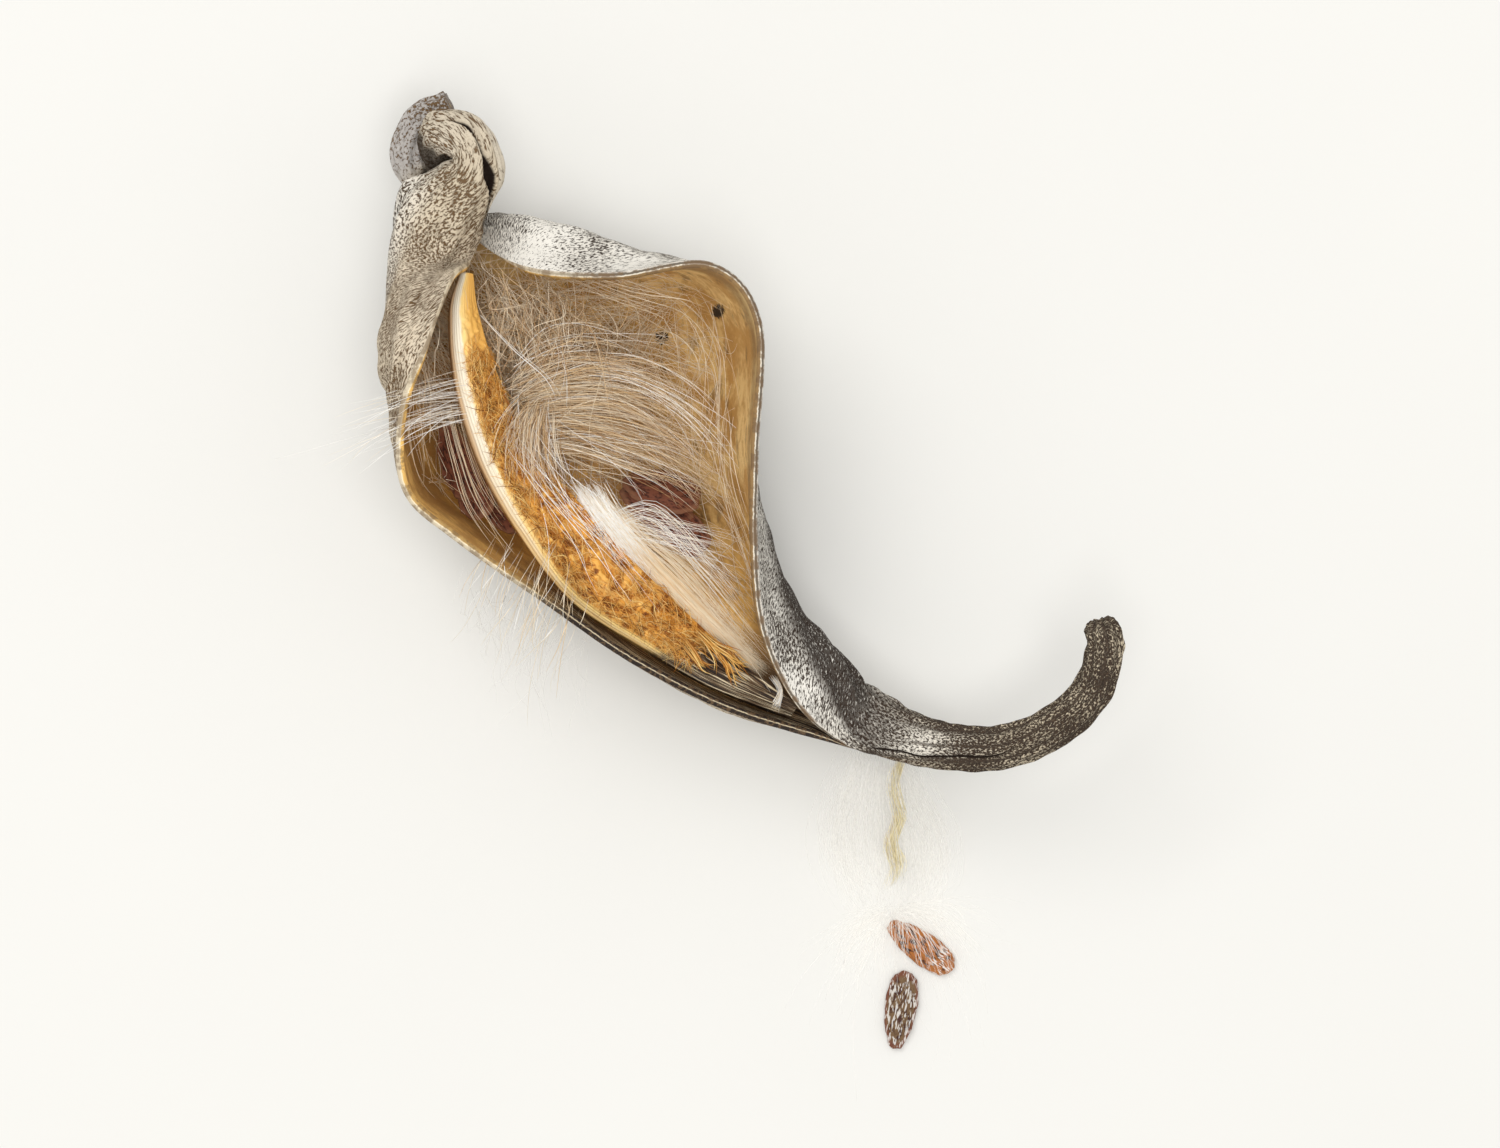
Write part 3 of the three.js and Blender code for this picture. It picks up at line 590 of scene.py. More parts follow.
def locks(rng, guides, count, root, tip, short=0.3, curl=0.0):
    """Paths between neighbouring guide curves, spread by root and tip mm at their ends. They stop
    short by up to that share of their length, and curl by so many mm."""
    guides = np.asarray(guides, float)
    w = np.linspace(0, 1, BENDS)
    pick = rng.uniform(0, len(guides) - 1, count)
    k = np.clip(pick.astype(int), 0, len(guides) - 2)
    share = (pick - k)[:, None, None]
    ends = rng.uniform(1 - short, 1, (count, 1))
    starts = rng.uniform(0, short * 0.3, (count, 1))
    where = (starts + (ends - starts) * w) * (guides.shape[1] - 1)
    lines = spline(guides.swapaxes(0, 1), where)
    row = np.arange(count)[:, None]
    column = np.arange(BENDS)[None]
    paths = lines[row, column, k[:, None]] * (1 - share) + lines[row, column, k[:, None] + 1] * share
    spread = rng.normal(size=(count, 1, 3))
    drift = rng.normal(size=(count, 1, 3))
    wave = rng.normal(size=(count, 1, 3))
    phase = rng.uniform(0, 2 * math.pi, (count, 1, 1))
    far = where[..., None] / (guides.shape[1] - 1)
    paths = paths + spread * root * 0.5 + drift * tip * 0.5 * far**1.6
    bend = rng.normal(size=(count, 1, 3))
    turns = rng.uniform(3, 9, (count, 1, 1))
    paths = paths + bend * curl * np.sin(phase + far * turns)
    return paths + wave * 0.12 * tip * np.sin(phase + far * 5) * far


def hair_radius(rng, count, size):
    """Radii that swell a little after the root and run out to the tip."""
    w = np.linspace(0, 1, BENDS)
    thick = size * rng.uniform(0.6, 1.35, (count, 1))
    return thick * (0.35 + 0.65 * np.sin(np.clip(w * 1.3 + 0.25, 0, 1) * math.pi / 2)) * (
        1 - 0.75 * w**4
    )


def over_lining(rng, count, t_range, s_range, reach, lift):
    """Paths that lie at random over the lining, between ranges of the husk's own places."""
    w = np.linspace(-0.5, 0.5, BENDS)
    t = rng.uniform(*t_range, count)[:, None]
    s = rng.uniform(*s_range, count)[:, None]
    turn = rng.uniform(0, math.pi, count)[:, None]
    size = rng.uniform(*reach, count)[:, None]
    bow = rng.normal(0, 0.12, (count, 1)) * (2 * w) ** 2
    t_line = t + size * (np.cos(turn) * w - np.sin(turn) * bow)
    s_line = s + ROUND_STEP * size * (np.sin(turn) * w + np.cos(turn) * bow)
    inside = (t_line > OPENS + 0.7) & (t_line < CLOSES - 1)
    inside &= (s_line > 0.25) & (s_line < RIM_END - 0.3)
    keep = inside.all(axis=1)
    t_line, s_line = t_line[keep], s_line[keep]
    height = SILK_LIFT + rng.uniform(*lift, (len(t_line), 1))
    height = height + 0.5 * rng.uniform(0, 1, (len(t_line), 1)) * (1 - (2 * w) ** 2)
    return husk_face(t_line, s_line) + husk_inward(t_line, s_line) * height[..., None]


SILK_BAND = [
    [(-18.2, 8.0, 17.4), (-14.9, 4.6, 16.9), (-11.6, 0.8, 16.0), (-7.4, -3.7, 15.2),
     (-2.6, -7.8, 14.6), (0.6, -10.3, 14.3)],
    [(-15.4, 7.6, 17.2), (-12.4, 3.6, 16.9), (-9.2, 0.4, 16.2), (-5.2, -3.8, 15.4),
     (-1.4, -7.5, 14.7), (1.2, -9.9, 14.5)],
    [(-14.0, 6.6, 16.4), (-9.6, 3.6, 15.6), (-5.6, 0.6, 14.8), (-2.9, -2.9, 14.4),
     (-0.2, -6.6, 14.4), (1.6, -9.5, 14.3)],
]
SILK_FAN = [
    [(-24.8, 20.6, 19.0), (-22.6, 23.4, 17.4), (-19.0, 25.2, 16.0), (-14.6, 25.0, 15.4),
     (-10.6, 23.0, 15.2)],
    [(-24.4, 18.8, 18.9), (-21.2, 20.8, 17.2), (-16.9, 21.6, 16.0), (-11.6, 20.4, 15.4),
     (-7.4, 17.6, 15.4)],
    [(-23.8, 17.2, 18.8), (-20.2, 18.4, 17.4), (-14.8, 18.8, 16.0), (-9.0, 16.6, 15.4),
     (-4.2, 12.6, 15.4)],
    [(-23.2, 15.8, 18.7), (-19.6, 16.4, 17.4), (-13.8, 15.9, 16.0), (-8.0, 13.4, 15.4),
     (-3.0, 9.4, 15.6)],
    [(-22.6, 14.4, 18.6), (-18.8, 14.4, 17.4), (-13.4, 13.0, 16.0), (-8.2, 10.8, 15.4),
     (-2.8, 7.0, 15.6)],
    [(-21.8, 12.8, 18.4), (-18.0, 12.4, 17.2), (-13.4, 10.8, 16.0), (-8.8, 9.4, 15.4),
     (-3.0, 5.8, 15.6)],
]
SILK_ARCH = [
    [(-14.4, 5.6, 17.6), (-10.6, 6.9, 18.0), (-7.7, 5.1, 17.6), (-5.2, 2.2, 17.0),
     (-2.5, -0.8, 16.4), (0.0, -4.4, 15.6)],
    [(-14.0, 5.0, 17.6), (-10.4, 6.3, 18.0), (-7.9, 4.5, 17.6), (-5.5, 1.6, 17.0),
     (-2.9, -1.4, 16.4), (-0.4, -5.0, 15.6)],
]
SILK_BRIGHT = [
    [(-16.9, 21.3, 17.0), (-12.7, 20.9, 16.8), (-8.2, 18.6, 16.6), (-4.9, 15.4, 16.4),
     (-2.3, 11.5, 16.2)],
    [(-15.4, 19.4, 17.0), (-11.6, 18.8, 16.8), (-7.6, 16.4, 16.6), (-4.4, 13.0, 16.4),
     (-2.2, 8.6, 16.2)],
]
SILK_TUFT = [
    [(-18.7, 8.9, 18.2), (-16.6, 6.2, 18.3), (-14.2, 3.4, 17.8), (-11.6, 0.6, 17.0)],
    [(-15.6, 8.4, 18.0), (-14.0, 5.6, 18.1), (-12.0, 3.0, 17.6), (-9.6, 0.2, 16.8)],
]
SILK_LONG = [
    [(-27.4, 26.1, 21.6), (-23.8, 22.3, 22.0), (-20.9, 19.6, 21.2), (-19.4, 16.8, 19.8)],
    [(-19.4, 22.6, 19.4), (-18.9, 20.8, 19.8), (-19.0, 18.8, 19.8), (-19.5, 17.0, 19.6)],
]
SILK_ROOTS = [
    [(-22.4, 17.4, 19.2), (-24.2, 15.4, 21.4), (-25.0, 12.8, 22.6), (-25.2, 10.0, 22.8)],
    [(-21.8, 17.0, 19.0), (-22.6, 14.0, 20.4), (-22.8, 10.8, 21.4), (-22.2, 7.6, 22.2)],
    [(-21.0, 16.4, 18.8), (-20.6, 13.0, 19.6), (-19.6, 9.8, 19.8), (-17.8, 7.0, 19.4)],
]
SILK_UPPER = [
    [(-27.2, 28.4, 17.4), (-26.0, 25.4, 17.6), (-24.4, 22.0, 18.0), (-22.2, 17.4, 18.4)],
    [(-23.4, 28.6, 15.8), (-22.4, 25.2, 16.4), (-21.6, 21.4, 17.4), (-21.0, 17.2, 18.2)],
    [(-18.0, 27.4, 15.2), (-17.2, 24.4, 15.8), (-18.2, 20.8, 16.8), (-20.0, 17.0, 18.0)],
]
SILK_ACROSS = [
    [(-14.2, 6.6, 16.8), (-9.6, 5.6, 17.0), (-5.0, 4.6, 16.6), (-1.2, 3.2, 16.2)],
    [(-13.6, 3.8, 16.6), (-9.0, 2.6, 16.8), (-4.6, 1.0, 16.4), (-0.8, -0.6, 16.0)],
]
SILK_STRAY = [
    [(-24.0, 12.0, 21.6), (-20.0, 8.6, 21.8), (-16.0, 3.0, 21.2), (-12.6, -1.0, 20.8)],
    [(-21.0, 13.0, 20.6), (-18.6, 7.0, 21.4), (-13.6, 3.6, 20.4), (-9.6, -2.0, 19.6)],
]
SILK_TIP = [
    [(1.4, -10.2, 15.2), (2.4, -11.6, 16.8), (1.9, -13.0, 17.4), (1.3, -13.9, 17.0)],
    [(2.2, -10.4, 15.2), (2.8, -11.8, 16.8), (2.5, -13.0, 17.4), (2.3, -13.6, 17.0)],
]
SILK_LEFT = [
    [(-26.8, 19.0, 18.0), (-31.0, 18.6, 24.0), (-36.0, 17.4, 28.6), (-40.6, 15.8, 29.0)],
    [(-26.4, 17.4, 18.0), (-31.2, 16.8, 23.0), (-36.4, 15.2, 28.2), (-42.0, 12.6, 28.2)],
    [(-26.0, 15.4, 17.8), (-31.0, 15.8, 22.6), (-35.8, 13.2, 28.0), (-40.0, 9.8, 27.4)],
]
SILK_OVER = [
    [(-24.6, 4.4, 19.0), (-26.4, 0.6, 27.0), (-27.6, -2.8, 21.0), (-28.4, -6.4, 12.0)],
    [(-20.6, 0.6, 19.0), (-21.8, -3.0, 25.8), (-22.8, -6.4, 20.0), (-23.6, -10.4, 10.0)],
    [(-18.6, -0.9, 18.8), (-19.2, -4.8, 25.4), (-20.2, -8.0, 18.4), (-21.2, -11.6, 8.0)],
]
SILK_CHAMBER = [
    [(-31.6, 16.4, 18.0), (-30.4, 11.4, 17.6), (-28.6, 6.4, 17.6), (-24.4, 1.4, 18.6)],
    [(-30.4, 16.8, 18.4), (-29.0, 11.8, 18.0), (-27.0, 7.2, 18.0), (-23.2, 2.2, 19.0)],
    [(-29.2, 17.2, 18.4), (-27.6, 12.3, 18.0), (-25.4, 7.9, 18.0), (-22.0, 3.0, 19.2)],
]
SILK_WISPS = [
    [(-27.6, 0.3, 20.6), (-28.2, -2.6, 14.6), (-28.6, -5.6, 7.6), (-28.0, -8.6, 0.8)],
    [(-24.6, -1.6, 20.4), (-25.4, -4.6, 14.2), (-26.2, -7.8, 7.2), (-26.0, -11.0, 0.8)],
    [(-21.4, -3.9, 20.0), (-22.4, -6.8, 13.8), (-23.4, -10.2, 7.0), (-23.2, -13.6, 0.8)],
    [(-17.4, -6.3, 19.4), (-18.6, -9.2, 13.4), (-19.4, -12.6, 6.8), (-19.2, -16.0, 0.8)],
]
SILK_STRING = [
    [(14.5, -18.8, 13.2), (13.9, -21.6, 10.4), (14.6, -24.6, 7.4), (13.6, -27.6, 5.2),
     (14.4, -29.6, 3.8), (13.7, -32.0, 2.4)],
    [(15.1, -18.8, 13.4), (14.5, -21.4, 10.6), (15.3, -24.6, 7.6), (14.3, -27.4, 5.4),
     (15.2, -29.6, 4.0), (14.2, -32.0, 2.5)],
]
SILK_SPREAD = [
    [(10.2, -17.5, 13.7), (8.2, -22.4, 8.4), (7.0, -27.0, 3.6), (8.4, -31.4, 1.1),
     (11.8, -34.0, 0.8)],
    [(11.6, -18.0, 13.9), (10.6, -22.6, 9.2), (10.0, -27.2, 4.6), (11.0, -31.8, 1.8),
     (12.9, -34.2, 1.0)],
    [(12.8, -18.5, 14.0), (12.9, -22.8, 9.6), (13.5, -27.4, 5.0), (14.0, -32.0, 2.2),
     (14.0, -34.3, 1.1)],
    [(14.4, -18.8, 13.9), (15.3, -22.8, 9.2), (17.0, -27.2, 4.6), (17.2, -31.8, 1.8),
     (15.0, -34.2, 1.0)],
    [(16.0, -19.1, 13.8), (17.8, -22.6, 8.4), (19.8, -27.0, 3.6), (19.4, -31.4, 1.1),
     (16.0, -34.0, 0.8)],
]
SILK_FRINGE = [
    [(14.0, -34.2, 1.0), (9.6, -35.6, 1.4), (7.2, -38.6, 1.0), (6.8, -42.0, 0.6)],
    [(14.0, -34.2, 1.0), (12.0, -37.4, 1.6), (11.0, -41.0, 1.4), (11.4, -45.0, 0.6)],
    [(14.4, -34.2, 1.0), (18.0, -36.0, 1.8), (20.4, -40.4, 1.4), (20.2, -44.4, 0.6)],
    [(14.4, -34.0, 1.0), (19.4, -34.2, 1.6), (22.6, -36.8, 1.2), (23.6, -40.6, 0.6)],
]


def silk_piece(name, rng, groups, material, node=None, shadow=False):
    """One mesh of silk from groups of (paths, strand radius). Loose strands let the light through,
    so they cast no shadow."""
    paths = np.concatenate([path for path, _ in groups])
    radius = np.concatenate([hair_radius(rng, len(path), size) for path, size in groups])
    strands(name, "silk", node, paths, radius, material, rng).visible_shadow = shadow


def above_table(paths):
    """The paths, kept just over the surface that the pod rests on."""
    paths[..., 2] = np.maximum(paths[..., 2], LEAST_HEIGHT)
    return paths


def build_silk(scene):
    rng = np.random.default_rng(7)
    white = silk_floss("White silk", "silk", "silk", "silk_warm")
    cream = silk_floss("Cream silk", "silk_warm", "silk_warm", "silk_tan")
    tan = silk_floss("Tan silk", "silk_warm", "silk_tan", "silk_shade")
    yellow = silk_floss("Yellow silk", "silk_yellow", "silk_yellow", "silk_warm")
    airy = silk_floss("Airy silk", "silk", "silk", "silk", 0.5)
    fine, bold, coarse = (radius * scene.pod_sizes.hair for radius in SILK_RADII)

    def many(count):
        return max(2, int(count * scene.pod_sizes.silk_amount))

    silk_piece("silk_band", rng, [
        (locks(rng, SILK_BAND[:2], many(760), 0.5, 0.9), bold),
        (locks(rng, SILK_BAND[1:], many(60), 0.9, 2.0), bold),
    ], cream, "silk_sheet")
    silk_piece("silk_tuft", rng, [
        (locks(rng, SILK_TUFT, many(190), 0.9, 1.8), bold),
        (locks(rng, SILK_BRIGHT, many(20), 1.4, 2.4, 0.3), bold),
        (locks(rng, SILK_ARCH, many(16), 0.8, 1.0, 0.2), bold),
        (locks(rng, SILK_ACROSS, many(44), 1.2, 2.6), fine),
        (locks(rng, SILK_LONG[:1] * 2, 2, 0.2, 1.0, 0.1), coarse),
        (locks(rng, SILK_LONG[1:] * 2, 3, 1.2, 1.0, 0.1), bold),
        (locks(rng, SILK_TIP, many(26), 0.12, 0.5, 0.2), bold),
        (locks(rng, SILK_FAN, many(46), 1.4, 7.0, 0.5, 0.4), bold),
        (locks(rng, SILK_ROOTS, many(50), 1.6, 4.0, 0.5, 0.2), fine),
        (locks(rng, SILK_STRAY, many(22), 3.0, 6.0, 0.2), bold),
    ], white)
    silk_piece("silk_fan_strands", rng, [
        (locks(rng, SILK_FAN[1:5], many(330), 0.9, 3.4, 0.6, 0.3), bold),
        (locks(rng, SILK_FAN, many(170), 1.6, 7.0, 0.6, 0.6), bold),
        (locks(rng, SILK_FAN[4:], many(40), 1.2, 2.4, 0.5, 0.2), bold),
        (locks(rng, SILK_UPPER, many(220), 3.6, 7.0, 0.7, 1.2), bold),
        (locks(rng, SILK_ROOTS, many(170), 1.2, 2.2, 0.5, 0.2), bold),
    ], tan, "silk_fan", True)
    near = ((OPENS + 0.9, OPENS + 4.2), (2.0, 4.6))
    upper = ((OPENS + 0.9, OPENS + 5.0), (2.2, 5.6))
    lower = ((OPENS + 4.6, CLOSES - 2.0), (2.4, 5.4))
    chamber = ((OPENS + 1.6, OPENS + 5.0), (0.5, 2.4))
    silk_piece("silk_on_lining", rng, [
        (over_lining(rng, many(820), *near, (1.2, 3.8), (0, 1.8)), bold),
        (over_lining(rng, many(380), *upper, (1.0, 3.6), (0, 3.0)), bold),
        (over_lining(rng, many(70), *upper, (1.6, 4.4), (1.5, 4.0)), coarse),
        (over_lining(rng, many(150), *lower, (0.6, 2.6), (0, 1.6)), bold),
    ], cream, None, True)
    silk_piece("silk_chamber_strands", rng, [
        (locks(rng, SILK_CHAMBER, many(26), 0.8, 1.4, 0.4), bold),
        (over_lining(rng, many(100), *chamber, (0.6, 1.8), (0, 3)), bold),
        (locks(rng, SILK_OVER, many(44), 2.6, 5.0, 0.6), bold),
    ], cream, "silk_chamber", True)
    silk_piece("silk_left", rng, [
        (locks(rng, SILK_LEFT, many(46), 1.8, 3.4, 0.5), bold),
        (locks(rng, SILK_OVER, many(18), 2.6, 5.0, 0.5), bold),
    ], white)
    silk_piece("silk_wisp_strands", rng, [
        (above_table(locks(rng, SILK_WISPS, many(90), 1.8, 4.0, 0.7, 0.7)), fine),
    ], airy, "silk_wisps")
    silk_piece("silk_floss", rng, [
        (above_table(locks(rng, SILK_SPREAD, many(380), 1.4, 3.0, 0.3)), fine),
        (above_table(locks(rng, SILK_FRINGE, many(240), 0.8, 7.0, 0.6)), fine),
    ], airy, "loose_silk")
    silk_piece("silk_string", rng, [
        (above_table(locks(rng, SILK_STRING, many(90), 0.5, 0.6, 0.2, 0.06)), bold),
    ], yellow, None, True)


# Seeds


def seed_mesh(width, seed):
    """A flat oval with a thin wavy margin and a wrinkled body; its point is at +X, in mm."""
    share = np.sin(np.linspace(0, math.pi / 2, SEED_RINGS))
    angle = np.linspace(0, 2 * math.pi, SEED_AROUND, endpoint=False)
    r, a = np.meshgrid(share, angle, indexing="ij")
    wavy = 1 + 0.018 * r * np.sin(9 * a + seed) + 0.012 * r * np.sin(17 * a + 2 * seed)
    point = 0.12 * np.maximum(0, np.cos(a)) ** 6
    x = SEED_LENGTH / 2 * r * wavy * (np.cos(a) + point)
    side = np.sign(np.sin(a)) * np.abs(np.sin(a)) ** SEED_BLUNT
    y = width / 2 * r * wavy * side * (1 - 0.12 * np.cos(a))
    flat = stacked(x, y, 3 * seed)
    body = 0.3 + 0.25 * (1 - smooth(0.35, 0.8, r))
    edge = np.sqrt(np.maximum(0, 1 - smooth(0.9, 1.0, r)))
    wrinkles = 0.07 * rough(flat * np.array([0.6, 1.4, 1]), 0.8, 51) + 0.05 * lumps(flat, 2.0, 53)
    keel = 0.09 * np.exp(-(y / 0.35) ** 2) * (1 - smooth(0.5, 0.8, r))
    ripple = 0.08 * smooth(0.6, 0.95, r) * np.sin(7 * a + 3 * seed)
    top, bottom = (
        stacked(x, y, way * (body + keel - 0.05) * edge + (wrinkles * (0.3 + 0.7 * edge)) + ripple)
        for way in (1, -1)
    )
    bottom[-1] = top[-1]
    top_ids = numbered(0, SEED_RINGS, SEED_AROUND)
    bottom_ids = numbered(top_ids.size, SEED_RINGS, SEED_AROUND)
    bottom_ids[-1] = top_ids[-1]
    top_ids[0] = top_ids[0, 0]
    bottom_ids[0] = bottom_ids[0, 0]
    cells = [quads(wrapped(top_ids)), quads(wrapped(bottom_ids))[:, ::-1]]
    faces, _ = without_repeats(np.concatenate(cells))
    field = stacked(r, x, y + 9 * seed).reshape(-1, 3)
    points = np.concatenate([top, bottom]).reshape(-1, 3)
    return trimmed(faces, points, np.concatenate([field, field]))


def seed_piece(name, seeds, material, node, width=SEED_WIDTH):
    """Seeds joined in one mesh, each laid by its middle, heading, roll and pitch in degrees."""
    points, faces, fields = [], [], []
    count = 0
    for k, (at, heading, roll, pitch) in enumerate(seeds):
        f, p, field = seed_mesh(width, k + 1 + len(name))
        turn = Euler([math.radians(v) for v in (roll, pitch, heading)], "XYZ").to_matrix()
        points.append(p @ np.array(turn).T + np.array(at))
        faces += [[corner + count for corner in face] for face in f]
        fields.append(field)
        count += len(p)
    make_piece(name, "seeds", node, np.concatenate(points), faces, [material],
               place=np.concatenate(fields))


def build_seeds():
    dark = seed_coat("Seed coat", "seed_red", "seed_edge")
    russet = seed_coat("Russet seed coat", "russet", "russet", 0.8, -1.0)
    umber = seed_coat("Umber seed coat", "brown_bark", "seed_red", 0.55)
    seed_piece("seeds_right", RIGHT_SEEDS, dark, "right_seeds")
    seed_piece("seeds_left", LEFT_SEEDS, dark, "left_seeds")
    seed_piece("seed_upper", UPPER_SEED, russet, "loose_seed_upper", SEED_NARROW)
    seed_piece("seed_lower", LOWER_SEED, umber, "loose_seed_lower", SEED_NARROW)


# Materials


def tone(red, green, blue):
    """A screen colour, each part from 0 to 255, as the shader's own linear colour."""
    def linear(part):
        c = part / 255
        return c / 12.92 if c <= 0.04045 else ((c + 0.055) / 1.055) ** 2.4
    return (linear(red), linear(green), linear(blue), 1.0)


class Wire:
    """A socket of a material's nodes, for use in plain sums and products."""

    def __init__(self, paint, socket):
        self.paint = paint
        self.socket = socket

    def maths(self, operation, *values):
        return self.paint.node("ShaderNodeMath", {"operation": operation}, dict(enumerate(values)))

    def __add__(self, other):
        return self.maths("ADD", self, other)

    def __sub__(self, other):
        return self.maths("SUBTRACT", self, other)

    def __rsub__(self, other):
        return self.maths("SUBTRACT", other, self)

    def __mul__(self, other):
        return self.maths("MULTIPLY", self, other)

    __radd__ = __add__
    __rmul__ = __mul__


class Paint:
    """A material whose nodes are added one by one. A colour of the pod is given by its name."""

    def __init__(self, name, **constants):
        self.material = bpy.data.materials.new(name)
        self.material.use_nodes = True
        self.nodes = self.material.node_tree.nodes
        self.links = self.material.node_tree.links
        self.shader = self.nodes["Principled BSDF"]
        self.colours = bpy.context.scene.pod_colours
        for key, value in constants.items():
            self.shader.inputs[key.replace("_", " ")].default_value = value

    def node(self, kind, settings=None, values=None, out=0):
        """Adds a node: its settings first, then the values or links of its sockets."""
        made = self.nodes.new(kind)
        for key, value in (settings or {}).items():
            setattr(made, key, value)
        for key, value in (values or {}).items():
            self.feed(made.inputs[key], value)
        return Wire(self, made.outputs[out])

    def feed(self, socket, value):
        if isinstance(value, Wire):
            self.links.new(value.socket, socket)
        else:
            socket.default_value = getattr(self.colours, value) if isinstance(value, str) else value

    def finish(self, colour, roughness=None, height=None, depth=0.1, strength=1.0):
        """Links the colour, the roughness and a bump of that depth in mm, and gives the material."""
        self.feed(self.shader.inputs["Base Color"], colour)
        if roughness is not None:
            self.feed(self.shader.inputs["Roughness"], roughness)
        if height is not None:
            bump = self.node("ShaderNodeBump", None,
                             {"Height": height, "Distance": depth * MM, "Strength": strength})
            self.feed(self.shader.inputs["Normal"], bump)
        return self.material

    def field(self, name):
        """A vector that the mesh carries."""
        return self.node("ShaderNodeAttribute", {"attribute_name": name}, out="Vector")

    def parts(self, name):
        """The three numbers of a vector that the mesh carries."""
        outputs = self.node("ShaderNodeSeparateXYZ", None, {0: self.field(name)}).socket.node.outputs
        return [Wire(self, output) for output in outputs]

    def millimetres(self):
        place = self.node("ShaderNodeTexCoord", out="Object")
        return self.scaled(place, (1 / MM,) * 3)

    def scaled(self, vector, factors):
        return self.node("ShaderNodeVectorMath", {"operation": "MULTIPLY"}, {0: vector, 1: factors})

    def noise(self, vector, scale, detail, rough_share):
        """Noise from 0 to 1; its scale is one number, or three factors along the vector."""
        if isinstance(scale, tuple):
            vector, scale = self.scaled(vector, scale), 1.0
        return self.node("ShaderNodeTexNoise", None, {
            "Vector": vector, "Scale": scale, "Detail": detail, "Roughness": rough_share})

    def warped(self, vector, scale, amount):
        """The vector moved about by noise."""
        push = self.node("ShaderNodeTexNoise", None,
                         {"Vector": vector, "Scale": scale}, out="Color")
        centred = self.node("ShaderNodeVectorMath", {"operation": "SUBTRACT"},
                            {0: push, 1: (0.5,) * 3})
        return self.node("ShaderNodeVectorMath", {"operation": "ADD"},
                         {0: vector, 1: self.scaled(centred, (amount,) * 3)})

    def between(self, value, low, high):
        """0 below low, 1 above high, and smooth between; high may be below low."""
        return self.node("ShaderNodeMapRange", {"interpolation_type": "SMOOTHSTEP"},
                         {"Value": value, "From Min": low, "From Max": high})

    def wave(self, angle):
        return self.node("ShaderNodeMath", {"operation": "SINE"}, {0: angle})

    def most(self, first, second):
        return first.maths("MAXIMUM", first, second)

    def mix(self, share, first, second):
        return self.node("ShaderNodeMix", {"data_type": "RGBA"},
                         {0: share, 6: first, 7: second}, out=2)

    def layers(self, colour, *coats):
        """The colour under coats laid on in order, each a pair of its share and its colour."""
        for share, coat in coats:
            colour = self.mix(share, colour, coat)
        return colour

    def spot(self, vector, centre, radius):
        """1 within that many mm of a place, and 0 beyond, with a soft edge."""
        away = self.node("ShaderNodeVectorMath", {"operation": "DISTANCE"},
                         {0: vector, 1: centre}, out="Value")
        return self.between(away, radius * 1.2, radius * 0.7)


